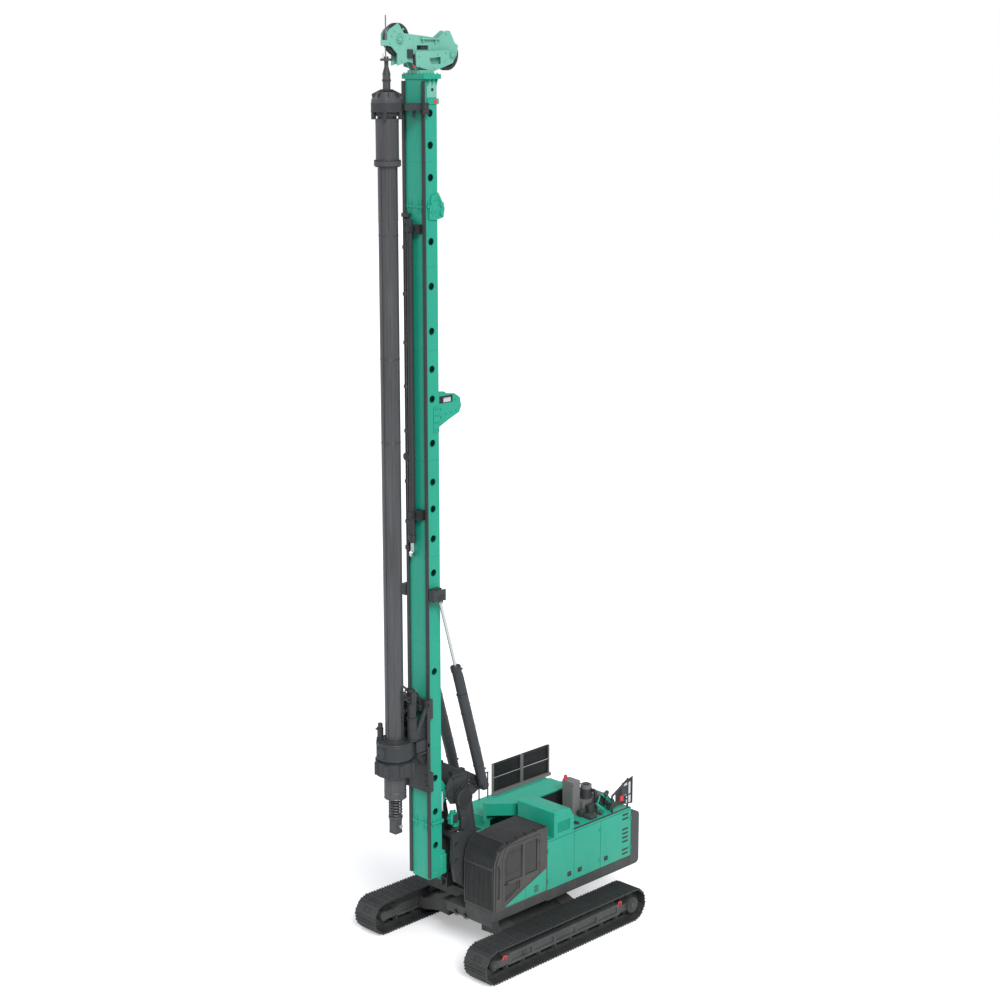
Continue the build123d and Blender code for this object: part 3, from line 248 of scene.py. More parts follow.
greenSizes = {**paintSizes, "colour": (0.008, 0.315, 0.205), "shade": (0.018, 0.345, 0.232),
              "streakColour": (0.006, 0.2, 0.135), "fleck": 0.06, "coat": 0.1, "rough": 0.42}
# a lighter copy of the machine green: painted light for the brighter-lit faces and sheen of the mast head
paintedLitSizes = {**greenSizes, "colour": (0.145, 0.42, 0.325), "shade": (0.185, 0.47, 0.375),
             "streakColour": (0.03, 0.3, 0.21)}
darkSizes = {**paintSizes, "colour": (0.03, 0.034, 0.036), "shade": (0.042, 0.046, 0.048),
             "streakColour": (0.016, 0.017, 0.018), "rough": 0.5, "coat": 0.05}
cabSizes = {**paintSizes, "colour": (0.054, 0.052, 0.05), "shade": (0.066, 0.064, 0.061),
            "streakColour": (0.036, 0.035, 0.033), "rough": 0.5, "coat": 0.05}
blackSizes = {**paintSizes, "colour": (0.012, 0.012, 0.013), "shade": (0.018, 0.018, 0.019), "rough": 0.55,
              "streak": 0.05, "fleck": 0.05}
redSizes = {**paintSizes, "colour": (0.55, 0.035, 0.05), "shade": (0.62, 0.05, 0.06), "dust": 0.1,
            "streakColour": (0.3, 0.02, 0.03), "rough": 0.36}
greySizes = {**paintSizes, "colour": (0.135, 0.135, 0.135), "shade": (0.155, 0.155, 0.152), "rough": 0.45,
             "streakColour": (0.09, 0.09, 0.09)}


# Bare and worked metal: grain along one way, smears of oil, dust near the ground
def metal(name, s):
    material, tree = newTree(name)
    plain = stretched(tree)
    grain = noise(tree, stretched(tree, s["grainWay"]), s["grain"], 5.0, 0.7)
    smear = spread(tree, noise(tree, stretched(tree, s["smearWay"]), 1.3, 5.0), 0.42, 0.66, 0.0, s["smear"])
    tone = blended(tree, spread(tree, grain, 0.3, 0.7, 0.0, 1.0), s["colour"], s["shade"])
    tone = blended(tree, smear, tone, s["smearColour"])
    dirt = spread(tree, noise(tree, plain, 3.1, 7.0, 0.68), 0.4, 0.66, 0.0, 1.0)
    tone = dusted(tree, tone, dirt, s)
    rough = spread(tree, grain, 0.25, 0.75, s["rough"] - s["roughSwing"], s["rough"] + s["roughSwing"])
    finishShader(tree, tone, rough, grain, s["depth"], {
        "bump": 0.25, "Metallic": s["metallic"], "Specular IOR Level": 0.5})
    return material


metalSizes = {"grainWay": (1.0, 1.0, 1.0), "grain": 60.0, "smearWay": (1.0, 1.0, 0.4), "smear": 0.3,
              "smearColour": (0.05, 0.045, 0.04), "dustTop": 2.0, "dust": 0.0,
              "dustColour": (0.27, 0.23, 0.18),
              "rough": 0.35, "roughSwing": 0.1, "depth": 0.0008, "metallic": 1.0}

chromeSizes = {**metalSizes, "colour": (0.7, 0.71, 0.72), "shade": (0.78, 0.79, 0.8), "rough": 0.14,
               "roughSwing": 0.05, "grain": 140.0, "smear": 0.12, "smearColour": (0.4, 0.4, 0.38)}
kellySizes = {**metalSizes, "colour": (0.075, 0.078, 0.083), "shade": (0.115, 0.117, 0.12), "metallic": 0.55,
              "grainWay": (1.0, 1.0, 0.03), "grain": 34.0, "smearWay": (1.5, 1.5, 0.25), "smear": 0.45,
              "smearColour": (0.045, 0.044, 0.043), "rough": 0.4}
trackSizes = {**metalSizes, "colour": (0.04, 0.045, 0.046), "shade": (0.066, 0.072, 0.072), "metallic": 0.45,
              "grain": 28.0, "rough": 0.55, "dust": 0.22, "dustTop": 1.1, "depth": 0.002,
              "dustColour": (0.17, 0.15, 0.12), "smearColour": (0.03, 0.03, 0.03)}
castSizes = {**metalSizes, "colour": (0.048, 0.05, 0.053), "shade": (0.062, 0.064, 0.066), "metallic": 0.0,
             "grain": 90.0, "rough": 0.58, "dust": 0.12, "dustTop": 2.0, "depth": 0.003}
zincSizes = {**metalSizes, "colour": (0.45, 0.45, 0.44), "shade": (0.56, 0.56, 0.55),
             "rough": 0.36, "smear": 0.2}
rubberSizes = {**metalSizes, "colour": (0.014, 0.014, 0.015), "shade": (0.024, 0.024, 0.024), "metallic": 0.0,
               "grain": 210.0, "rough": 0.62, "smearColour": (0.035, 0.033, 0.03), "smear": 0.25}
ropeSizes = {**metalSizes, "colour": (0.3, 0.29, 0.27), "shade": (0.42, 0.41, 0.39), "rough": 0.42,
             "grainWay": (1.0, 1.0, 0.2), "grain": 180.0}


# Woven cloth for the seat: warp and weft from two waves
def cloth(name, s):
    material, tree = newTree(name)
    plain = stretched(tree)
    warp, weft = [addNode(tree, "ShaderNodeTexWave", {"bands_direction": way}, Vector=plain,
                          Scale=s["threads"],
                          Distortion=0.4, Detail=1.0).outputs["Fac"] for way in "XZ"]
    weave = times(tree, warp, weft)
    tone = blended(tree, weave, s["colour"], s["shade"])
    rough = spread(tree, noise(tree, plain, 12.0), 0.3, 0.7, 0.78, 0.92)
    finishShader(tree, tone, rough, weave, 0.0015, {
        "bump": 0.5, "Sheen Weight": 0.35, "Sheen Roughness": 0.5})
    return material


clothSizes = {"colour": (0.02, 0.02, 0.022), "shade": (0.055, 0.055, 0.058), "threads": 150.0}


def tintedGlass(name, s):
    material, tree = newTree(name)
    plain = stretched(tree)
    film = spread(tree, noise(tree, plain, 1.7, 6.0), 0.35, 0.7, 0.0, s["film"])
    tone = blended(tree, film, s["colour"], s["filmColour"])
    rough = spread(tree, noise(tree, plain, 1.5, 2.0), 0.35, 0.7, 0.02, 0.05)
    finishShader(tree, tone, rough, noise(tree, plain, 1.2, 1.0), 0.0004, {
        "bump": 0.02, "Transmission Weight": 0.2, "IOR": 1.35})
    return material


glassSizes = {"colour": (0.052, 0.051, 0.05), "film": 0.45, "filmColour": (0.072, 0.069, 0.066)}

finishes = {}
for maker, kinds in (
        (paint, {"machineGreen": greenSizes, "paintedLitGreen": paintedLitSizes, "darkPaint": darkSizes,
                 "cabPaint": cabSizes,
                 "blackPaint": blackSizes, "greyPaint": greySizes, "redPaint": redSizes}),
        (metal, {"chromedRod": chromeSizes, "kellySteel": kellySizes, "trackSteel": trackSizes,
                 "castWeight": castSizes, "zincPlate": zincSizes, "hoseRubber": rubberSizes,
                 "steelRope": ropeSizes}),
        (cloth, {"seatCloth": clothSizes}), (tintedGlass, {"tintedGlass": glassSizes})):
    for name, sizes in kinds.items():
        finishes[name] = maker(name, sizes)

nodeFinish = {
    "trackSteel": ("track_left", "track_right", "track_wheels", "main_winch_drum", "front_sheave",
                   "rear_sheave"),
    "darkPaint": ("track_frame_left", "track_frame_right", "car_body", "slew_platform", "main_plates",
                  "winch_frame", "deck_rails", "boom_arms", "boom_tube", "link_rods", "head_frame",
                  "luff_barrel",
                  "mast_cylinder_barrels", "mast_cylinder_brackets", "mast_rails", "crowd_barrel",
                  "crowd_sledge", "rotary_drive", "kelly_guide", "cab_guard"),
    # the mast head in the lighter copy of the green: painted light
    "paintedLitGreen": ("cathead",),
    "blackPaint": ("guard_panels",),
    "castWeight": ("counterweight", "engine_block"),
    "greyPaint": ("exhaust_box",),
    "cabPaint": ("cab_shell", "cab_door"),
    "tintedGlass": ("cab_glass", "cab_door_glass"),
    "seatCloth": ("operator_seat",),
    "chromedRod": ("luff_rod", "mast_cylinder_rods", "crowd_rod"),
    "kellySteel": ("drive_sleeve", "kelly_outer", "kelly_inner", "kelly_spring", "rope_swivel"),
}


def dressNodes():
    chosen = {name: key for key, names in nodeFinish.items() for name in names}
    for name, piece in nodes.items():
        piece.data.materials.clear()
        piece.data.materials.append(finishes[chosen.get(name, "machineGreen")])


dressNodes()
print("finishes made and the frame's own pieces dressed")

# Geometry Nodes: what repeats or follows a path

def newGeoTree(name, sockets):
    tree = bpy.data.node_groups.new(name, "GeometryNodeTree")
    tree.interface.new_socket("Geometry", in_out="INPUT", socket_type="NodeSocketGeometry")
    for label, kind in sockets:
        tree.interface.new_socket(label, in_out="INPUT", socket_type="NodeSocket" + kind)
    tree.interface.new_socket("Geometry", in_out="OUTPUT", socket_type="NodeSocketGeometry")
    return tree, tree.nodes.new("NodeGroupInput")


def closeGeoTree(tree, start, geometry):
    real = addNode(tree, "GeometryNodeRealizeInstances", Geometry=geometry)
    dressed = addNode(tree, "GeometryNodeSetMaterial", Geometry=real.outputs[0],
                      Material=start.outputs["Finish"])
    end = tree.nodes.new("NodeGroupOutput")
    tree.links.new(dressed.outputs[0], end.inputs[0])
    return tree


def scaled(tree, value, factor):
    return addNode(tree, "ShaderNodeMath", {"operation": "MULTIPLY"}, i0=value, i1=factor).outputs[0]


def named(tree, label):
    return addNode(tree, "GeometryNodeInputNamedAttribute", {"data_type": "FLOAT_VECTOR"},
                   Name=label).outputs[0]


def tubed(tree, curve, radius, sides):
    ring = addNode(tree, "GeometryNodeCurvePrimitiveCircle", Resolution=sides, Radius=radius)
    return addNode(tree, "GeometryNodeCurveToMesh", Curve=curve, Profile_Curve=ring.outputs[0],
                   Fill_Caps=True).outputs[0]


def boltTree():
    # a hexagon head on a round washer at each point, turned along the attribute "way"
    tree, start = newGeoTree("boltHeads", [("Across", "Float"), ("Height", "Float"), ("Finish", "Material")])
    across, height = start.outputs["Across"], start.outputs["Height"]
    washer = addNode(tree, "GeometryNodeMeshCylinder", Vertices=14, Radius=scaled(tree, across, 0.85),
                     Depth=scaled(tree, height, 0.3))
    head = addNode(tree, "GeometryNodeMeshCylinder", Vertices=6,
                   Radius=scaled(tree, across, 0.577), Depth=height)
    up = addNode(tree, "ShaderNodeCombineXYZ", Z=scaled(tree, height, 0.75))
    raised = addNode(tree, "GeometryNodeTransform", Geometry=head.outputs[0], Translation=up.outputs[0])
    joined = tree.nodes.new("GeometryNodeJoinGeometry")
    for part in (raised.outputs[0], washer.outputs[0]):
        tree.links.new(part, joined.inputs[0])
    turn = addNode(tree, "FunctionNodeAlignRotationToVector", {"axis": "Z"}, Vector=named(tree, "way"))
    heads = addNode(tree, "GeometryNodeInstanceOnPoints", Points=start.outputs["Geometry"],
                    Instance=joined.outputs[0], Rotation=turn.outputs[0])
    return closeGeoTree(tree, start, heads.outputs[0])


def pipeTree():
    # a round pipe, hose or bar along a curve
    tree, start = newGeoTree("roundPipe", [("Radius", "Float"), ("Sides", "Int"), ("Finish", "Material")])
    tube = tubed(tree, start.outputs["Geometry"], start.outputs["Radius"], start.outputs["Sides"])
    smooth = addNode(tree, "GeometryNodeSetShadeSmooth", Geometry=tube)
    return closeGeoTree(tree, start, smooth.outputs[0])


def springTree():
    # a wire wound round +Z
    tree, start = newGeoTree("woundSpring", [
        ("Turns", "Float"), ("Radius", "Float"), ("Height", "Float"), ("Wire", "Float"), ("Place", "Vector"),
        ("Finish", "Material")])
    helix = addNode(tree, "GeometryNodeCurveSpiral", Resolution=28, Rotations=start.outputs["Turns"],
                    Start_Radius=start.outputs["Radius"], End_Radius=start.outputs["Radius"],
                    Height=start.outputs["Height"])
    wire = tubed(tree, helix.outputs[0], start.outputs["Wire"], 14)
    placed = addNode(tree, "GeometryNodeTransform", Geometry=wire, Translation=start.outputs["Place"])
    smooth = addNode(tree, "GeometryNodeSetShadeSmooth", Geometry=placed.outputs[0])
    return closeGeoTree(tree, start, smooth.outputs[0])


def copyTree():
    # one part repeated at each point, with its X along "side" and its Z along "way"
    tree, start = newGeoTree("repeatedPart", [("Part", "Object"), ("Finish", "Material")])
    part = addNode(tree, "GeometryNodeObjectInfo", Object=start.outputs["Part"])
    turn = addNode(tree, "FunctionNodeAxesToRotation", {"primary_axis": "Z", "secondary_axis": "X"},
                   Primary_Axis=named(tree, "way"), Secondary_Axis=named(tree, "side"))
    copies = addNode(tree, "GeometryNodeInstanceOnPoints", Points=start.outputs["Geometry"],
                     Instance=part.outputs["Geometry"], Rotation=turn.outputs[0])
    return closeGeoTree(tree, start, copies.outputs[0])


trees = {"bolts": boltTree(), "pipe": pipeTree(), "spring": springTree(), "copies": copyTree()}


# Runs a tree on an object and keeps the result as a plain mesh that rides on a body
def grown(name, body, source, treeName, **values):
    modifier = source.modifiers.new(treeName, "NODES")
    modifier.node_group = trees[treeName]
    for item in trees[treeName].interface.items_tree:
        if item.in_out == "INPUT" and item.name in values:
            modifier[item.identifier] = values[item.name]
    bpy.context.scene.collection.objects.link(source)
    graph = bpy.context.evaluated_depsgraph_get()
    mesh = bpy.data.meshes.new_from_object(source.evaluated_get(graph), depsgraph=graph)
    mesh.name = name
    source.modifiers.clear()
    bpy.data.objects.remove(source, do_unlink=True)
    return ridden(name, body, mesh)


def ridden(name, body, mesh):
    piece = bpy.data.objects.new(name, mesh)
    bpy.context.scene.collection.objects.link(piece)
    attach(piece, body)
    return piece


def pointCloud(places, sides=None):
    # a mesh of bare points from places (point, way), and the sides that copies turn their X to
    mesh = bpy.data.meshes.new("places")
    mesh.from_pydata([tuple(point) for point, way in places], [], [])
    for label, values in (("way", [way for point, way in places]), ("side", sides)):
        if values is not None:
            attribute = mesh.attributes.new(label, "FLOAT_VECTOR", "POINT")
            attribute.data.foreach_set("vector", [c for value in values for c in value])
    return bpy.data.objects.new("places", mesh)


def curveThrough(points, smooth=True, closed=False):
    curve = bpy.data.curves.new("path", "CURVE")
    curve.dimensions = "3D"
    spline = curve.splines.new("NURBS" if smooth else "POLY")
    spline.points.add(len(points) - 1)
    for spot, point in zip(spline.points, points):
        spot.co = (*point, 1.0)
    if smooth:
        spline.order_u = 3
        spline.use_endpoint_u = not closed
        spline.resolution_u = 8
    spline.use_cyclic_u = closed
    return bpy.data.objects.new("path", curve)


def pipe(name, body, points, radius, finish, smooth=True, sides=12):
    return grown(name, body, curveThrough(points, smooth), "pipe", Radius=radius, Sides=sides,
                 Finish=finishes[finish])


def bolts(name, body, places, across, height, finish="zincPlate"):
    return grown(name, body, pointCloud(places), "bolts", Across=across, Height=height,
                 Finish=finishes[finish])


def repeated(name, body, mesh, places, sides, finish):
    part = bpy.data.objects.new("part", mesh)
    bpy.context.scene.collection.objects.link(part)
    piece = grown(name, body, pointCloud(places, sides), "copies", Part=part, Finish=finishes[finish])
    bpy.data.objects.remove(part, do_unlink=True)
    return piece


def ringOf(centre, axis, radius, count, first=0.0):
    # places evenly round a circle, each with the circle's axis as its way
    axis = Vector(axis).normalized()
    across = axis.orthogonal().normalized()
    other = axis.cross(across)
    places = []
    for i in range(count):
        turn = first + i * 2 * math.pi / count
        places.append((Vector(centre) + radius * (math.cos(turn) * across + math.sin(turn) * other), axis))
    return places


def rowOf(start, end, count, way):
    a, b = Vector(start), Vector(end)
    return [(a.lerp(b, i / (count - 1)), Vector(way)) for i in range(count)]


def facing(way, points):
    # places at the points, all with one way
    return [(Vector(point), Vector(way)) for point in points]


def closedMesh(name, bm):
    bmesh.ops.recalc_face_normals(bm, faces=bm.faces)
    mesh = bpy.data.meshes.new(name)
    bm.to_mesh(mesh)
    bm.free()
    return mesh


def finishMesh(name, body, bm, finish, smooth=False):
    bmesh.ops.remove_doubles(bm, verts=bm.verts, dist=0.00005)
    mesh = closedMesh(name, bm)
    mesh.materials.append(finishes[finish])
    for face in mesh.polygons:
        face.use_smooth = smooth
    if smooth:
        mesh.set_sharp_from_angle(angle=math.radians(35))
    return ridden(name, body, mesh)


def skin(bm, rings, caps=True):
    # faces between each ring of corners and the next, and over both ends
    for a, b in zip(rings, rings[1:]):
        for i in range(len(a)):
            j = (i + 1) % len(a)
            bm.faces.new((a[i], a[j], b[j], b[i]))
    if caps:
        bm.faces.new(rings[0])
        bm.faces.new(list(reversed(rings[-1])))


def addBlock(bm, low, high, bevel=0.0):
    made = bmesh.ops.create_cube(bm, size=1.0)["verts"]
    size = [b - a for a, b in zip(low, high)]
    middle = [(a + b) / 2 for a, b in zip(low, high)]
    bmesh.ops.scale(bm, vec=size, verts=made)
    bmesh.ops.translate(bm, vec=middle, verts=made)
    if bevel:
        edges = list({e for v in made for e in v.link_edges})
        bmesh.ops.bevel(bm, geom=edges, offset=bevel, segments=2, affect="EDGES", profile=0.6)


def addDrum(bm, start, end, radius, sides=24, endRadius=None):
    start, end = Vector(start), Vector(end)
    way = end - start
    made = bmesh.ops.create_cone(bm, cap_ends=True, segments=sides, radius1=radius,
                                 radius2=radius if endRadius is None else endRadius,
                                 depth=way.length)["verts"]
    spin = way.to_track_quat("Z", "Y").to_matrix()
    bmesh.ops.rotate(bm, cent=(0, 0, 0), matrix=spin, verts=made)
    bmesh.ops.translate(bm, vec=(start + end) / 2, verts=made)


print("geometry trees and mesh helpers ready")

# Tracks: every shoe of both chains, on the same path as the frame's tracks

trackParts = {
    "length": 5.45, "height": 0.83, "shoeWidth": 0.7, "centreX": 1.85,
    "shoes": 46, "plate": 0.02, "grouser": 0.025, "linkHalf": 0.075,
}


def trackPath(s, count):
    # places round the chain, each with its outward way, and the pitch between them
    centreZ = s["height"] / 2
    r = centreZ - s["grouser"] - s["plate"]
    half = s["length"] / 2 - centreZ
    straight = 2 * half
    total = 2 * straight + 2 * math.pi * r
    places = []
    for i in range(count):
        d = (i + 0.5) * total / count
        if d < straight:
            turn, y0 = 0.0, -half + d
        elif d < straight + math.pi * r:
            turn, y0 = (d - straight) / r, half
        elif d < 2 * straight + math.pi * r:
            turn, y0 = math.pi, half - (d - straight - math.pi * r)
        else:
            turn, y0 = math.pi + (d - 2 * straight - math.pi * r) / r, -half
        up = (0.0, math.sin(turn), math.cos(turn))
        places.append(((0.0, y0 + r * up[1], centreZ + r * up[2]), up))
    return places, total / count


def shoeMesh(s, pitch):
    # one shoe lying flat: X across the track, Y along it, Z out; with its bolts and two links
    bm = bmesh.new()
    half = s["shoeWidth"] / 2
    top, rib = s["plate"], s["plate"] + s["grouser"]
    line = [(-0.525, -0.003), (-0.5, top * 0.8), (-0.38, top), (-0.35, rib), (-0.28, rib), (-0.24, top),
            (-0.06, top), (-0.03, rib), (0.03, rib), (0.06, top), (0.24, top), (0.28, rib), (0.35, rib),
            (0.38, top), (0.5, top * 0.95), (0.525, 0.002), (0.36, -0.006), (-0.36, -0.006)]
    rings = []
    for x, pull in ((-half, 0.004), (-half + 0.012, 0.0), (half - 0.012, 0.0), (half, 0.004)):
        rings.append([bm.verts.new((x, y * pitch, z - pull if z > top * 0.5 else z)) for y, z in line])
    skin(bm, rings)
    for x in (-0.1, -0.06, 0.06, 0.1):
        for y in (-0.155, 0.155):
            addDrum(bm, (x, y * pitch, top), (x, y * pitch, top + 0.016), 0.017, 6)
    for x in (-s["linkHalf"], s["linkHalf"]):
        addBlock(bm, (x - 0.022, -0.44 * pitch, -0.082), (x + 0.022, 0.44 * pitch, -0.004))
    pin = s["linkHalf"] + 0.03
    addDrum(bm, (-pin, 0.5 * pitch, -0.045), (pin, 0.5 * pitch, -0.045), 0.026, 10)
    return closedMesh("shoe", bm)


def makeTracks(s):
    places, pitch = trackPath(s, s["shoes"])
    shoe = shoeMesh(s, pitch)
    for side, name in ((1, "left"), (-1, "right")):
        spots = [((side * s["centreX"], p[1], p[2]), up) for p, up in places]
        chain = repeated(f"trackChain_{name}", "undercarriage", shoe, spots, [(1.0, 0.0, 0.0)] * len(spots),
                         "trackSteel")
        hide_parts(f"track_{name}")


makeTracks(trackParts)
print("track shoes laid")


# One mesh out of blocks (low, high), round parts (start, end, radius, sides) and flat plates
def built(name, body, finish, blocks=(), drums=(), plates=(), bevel=0.0):
    bm = bmesh.new()
    for low, high in blocks:
        addBlock(bm, low, high, bevel)
    for start, end, radius, sides in drums:
        addDrum(bm, start, end, radius, sides)
    for outline, thick in plates:
        addPlate(bm, outline, thick)
    return finishMesh(name, body, bm, finish, True)


def addPlate(bm, outline, thick):
    # a flat plate on a ring of points, thickened along the vector thick
    shift = Vector(thick)
    first = [bm.verts.new(Vector(p)) for p in outline]
    second = [bm.verts.new(Vector(p) + shift) for p in outline]
    bm.faces.new(first)
    bm.faces.new(list(reversed(second)))
    for i in range(len(first)):
        j = (i + 1) % len(first)
        bm.faces.new((first[j], first[i], second[i], second[j]))


def mirrored(places):
    # the same bolt places on the other side of the machine
    flip = Vector((-1, 1, 1))
    return [(point * flip, way * flip) for point, way in places]


def bothSides(pairs):
    # blocks or drums for both sides: x is mirrored
    made = list(pairs)
    for item in pairs:
        if len(item) == 2:
            (x0, y0, z0), (x1, y1, z1) = item
            made.append(((-x1, y0, z0), (-x0, y1, z1)))
        else:
            start, end, radius, sides = item
            made.append(((-start[0], *start[1:]), (-end[0], *end[1:]), radius, sides))
    return made


def ringPipe(name, body, points, radius, finish, sides=8):
    # a closed run of pipe with straight sides, such as a seal or a weld bead
    return grown(name, body, curveThrough(points, False, True), "pipe", Radius=radius, Sides=sides,
                 Finish=finishes[finish])


def roundPoints(centre, axis, radius, count=28):
    return [p for p, way in ringOf(centre, axis, radius, count)]


print("piece helpers ready")

# Undercarriage: drive covers, hub bolts, slewing ring bolts, tie-down hooks, access covers

underParts = {
    "frameFace": 2.1, "axleHeight": 0.415, "driveY": 2.31, "idlerY": -2.31, "coverRadius": 0.188,
    "coverDepth": 0.045, "hubBolts": 16, "ringBolts": 40, "ringRadius": 0.737, "ringHeight": 0.91,
    "hooks": ((-2.02, 0.525), (1.88, 0.585)), "hookThickness": 0.02, "hatch": (-1.35, 0.44),
    "portRadius": 0.064, "collarRadius": 0.094, "portPlaces": (0.27, 0.58), "portHeight": 0.97,
    "portFace": -1.752,
    "coverRing": (1.02, 0.78, 0.79, 1.035), "ringCoverSides": 64,
}


def dressUndercarriage(s):
    z, face = s["axleHeight"], s["frameFace"]
    cover, hatch = face + s["coverDepth"], s["hatch"]
    drums = bothSides([
        ((face - 0.03, s["driveY"], z), (cover, s["driveY"], z), s["coverRadius"], 36),
        ((cover, s["driveY"], z), (cover + 0.018, s["driveY"], z), 0.105, 32),
        ((face - 0.03, s["idlerY"], z), (face + 0.02, s["idlerY"], z), 0.085, 28),
        ((face - 0.03, *hatch), (face - 0.018, *hatch), 0.07, 24),
    ])
    built("driveCovers", "undercarriage", "darkPaint", drums=drums)
    hub = []
    for x, (y, height), radius, count in (
            (cover, (s["driveY"], z), 0.152, s["hubBolts"]), (cover + 0.018, (s["driveY"], z), 0.075, 8),
            (face + 0.02, (s["idlerY"], z), 0.062, 8), (face - 0.018, hatch, 0.055, 6)):
        hub += ringOf((x, y, height), (1, 0, 0), radius, count)
    bolts("hubBolts", "undercarriage", hub + mirrored(hub), 0.024, 0.014, "darkPaint")
    bolts("slewRingBolts", "undercarriage",
          ringOf((0, 0, s["ringHeight"]), (0, 0, 1), s["ringRadius"], s["ringBolts"]), 0.03, 0.02)
    for i, (side, (y, height)) in enumerate([(side, hook) for side in (1, -1) for hook in s["hooks"]]):
        bend = ((0, -0.055, -0.07), (0.03, -0.055, -0.01), (0.035, -0.035, 0.035), (0.035, 0.035, 0.035),
                (0.03, 0.055, -0.01), (0, 0.055, -0.07))
        points = [(side * (face - 0.02) + side * dx, y + dy, height + dz) for dx, dy, dz in bend]
        pipe(f"tieHook_{i + 1}", "undercarriage", points, s["hookThickness"], "redPaint")
    for i, x in enumerate(s["portPlaces"]):
        for label, radius, wire in (("Rim", s["portRadius"], 0.01), ("Collar", s["collarRadius"], 0.009)):
            ringPipe(f"beamPort{label}_{i + 1}", "upper",
                     roundPoints((x, s["portFace"], s["portHeight"]), (0, 1, 0), radius), wire, "darkPaint")
    # black discs set inside the ports: painted shade for the dark inside of the holes
    built("beamPorts", "upper", "blackPaint", drums=[
        ((x, -1.7, s["portHeight"]), (x, -1.694, s["portHeight"]), s["portRadius"], 28)
        for x in s["portPlaces"]])
    outer, inner, low, high = s["coverRing"]
    count = s["ringCoverSides"]
    cover = bmesh.new()
    turns = [i * math.pi / (count / 2) for i in range(count)]
    rings = [[cover.verts.new((radius * math.cos(t), radius * math.sin(t), height)) for t in turns]
             for radius, height in (
        (inner, low), (outer, low), (outer, high - 0.02), (outer - 0.02, high), (inner, high))]
    skin(cover, rings + rings[:1], False)
    finishMesh("ringCover", "undercarriage", cover, "blackPaint", True)
    places = []
    for side in (1, -1):
        for y in (-1.17, -0.83, 0.83, 1.17):
            places += rowOf((side * 1.44, y, 0.555), (side * 1.56, y, 0.555), 3, (0, 0, 1))
    bolts("armBolts", "undercarriage", places, 0.036, 0.022)
    beads = bmesh.new()
    for side in (1, -1):
        for y0, y1 in ((-1.21, -0.79), (0.79, 1.21)):
            for height in (0.325, 0.545):
                addDrum(beads, (side * 1.597, y0, height), (side * 1.597, y1, height), 0.01, 8)
    finishMesh("armWelds", "undercarriage", beads, "darkPaint", True)


dressUndercarriage(underParts)
print("undercarriage dressed")

# Deck and houses: latches, louvre blades, tread plates, roof trim, braces, mirror, lamps
# What stands on the roof starts at the height deck, just inside it

houseParts = {
    "side": 1.5, "roof": 2.55, "latchWidth": 0.135, "latchHeight": 0.115,
    "latchAt": ((0.76, 1.5), (1.12, 1.5), (2.05, 1.5)),
    "deck": 2.548, "hoseEnd": 2.545, "rear": 3.25, "lampX": 1.28,
    "louvreGroups": ((1.4, 2), (1.71, 4), (2.29, 2)), "louvreY": (2.64, 2.84),
    "louvreHeight": 0.045, "louvrePitch": 0.105, "lugPitch": 0.045, "lugSize": (0.026, 0.008, 0.004),
    "railRadius": 0.014, "knobRadius": 0.042, "redKnob": (0.57, 1.61, 3.38), "redLamp": (1.4, 2.69, 2.775),
    "mirrorPlate": (1.39, 2.5, 3.1, 2.6, 3.27), "whiteLamp": (1.235, 2.36, 3.0), "canister": (0.81, 2.08),
    "filterCore": (2.4, 2.81),
}


def latchPieces(s):
    for i, (y, z) in enumerate(s["latchAt"]):
        body, x = f"service_door_{i + 1}", s["side"]
        w, h = s["latchWidth"] / 2, s["latchHeight"] / 2
        built(f"latchPlate_{i + 1}", body, "blackPaint",
              [((x - 0.004, y - w, z - h), (x + 0.005, y + w, z + h))],
              bevel=0.003)
        built(f"latchPaddle_{i + 1}", body, "darkPaint",
              [((x + 0.004, y - w * 0.75, z - h * 0.35), (x + 0.011, y + w * 0.3, z + h * 0.6))],
              [((x + 0.002, y + w * 0.65, z), (x + 0.01, y + w * 0.65, z), 0.011, 16)], bevel=0.002)


def louvreBlades(s):
    # a slanting blade in every slot of the last door, and a dark mesh behind them
    body, x = "service_door_3", s["side"]
    y0, y1 = s["louvreY"]
    bm = bmesh.new()
    for base, count in s["louvreGroups"]:
        for i in range(count):
            z = base + i * s["louvrePitch"]
            h = s["louvreHeight"]
            outline = [(x - 0.022, y0 + 0.002, z + h * 0.55), (x + 0.006, y0 + 0.002, z + h * 0.1),
                       (x + 0.006, y1 - 0.002, z + h * 0.1), (x - 0.022, y1 - 0.002, z + h * 0.55)]
            addPlate(bm, outline, (0.001, 0, 0.003))
            addPlate(bm, [(x - 0.001, y0 - 0.008, z + h + 0.001), (x + 0.012, y0 - 0.004, z + h * 0.55),
                          (x + 0.012, y1 + 0.004, z + h * 0.55), (x - 0.001, y1 + 0.008, z + h + 0.001)],
                     (0.0005, 0, 0.003))
    finishMesh("louvreBlades", body, bm, "darkPaint", False)
    built("louvreBacks", body, "blackPaint", [
        ((x - 0.036, y0 - 0.02, base - 0.02),
         (x - 0.026, y1 + 0.02, base + (count - 1) * s["louvrePitch"] + 0.065))
        for base, count in s["louvreGroups"]])


def treadLug(s):
    bm = bmesh.new()
    a, b, c = s["lugSize"]
    ring = [bm.verts.new(p) for p in ((-a / 2, 0, 0), (0, -b / 2, 0), (a / 2, 0, 0), (0, b / 2, 0))]
    tips = [bm.verts.new(p) for p in ((-a / 4, 0, c), (0, -b / 5, c), (a / 4, 0, c), (0, b / 5, c))]
    bm.faces.new(tips)
    for i in range(4):
        j = (i + 1) % 4
        bm.faces.new((ring[i], ring[j], tips[j], tips[i]))
    return closedMesh("treadLug", bm)


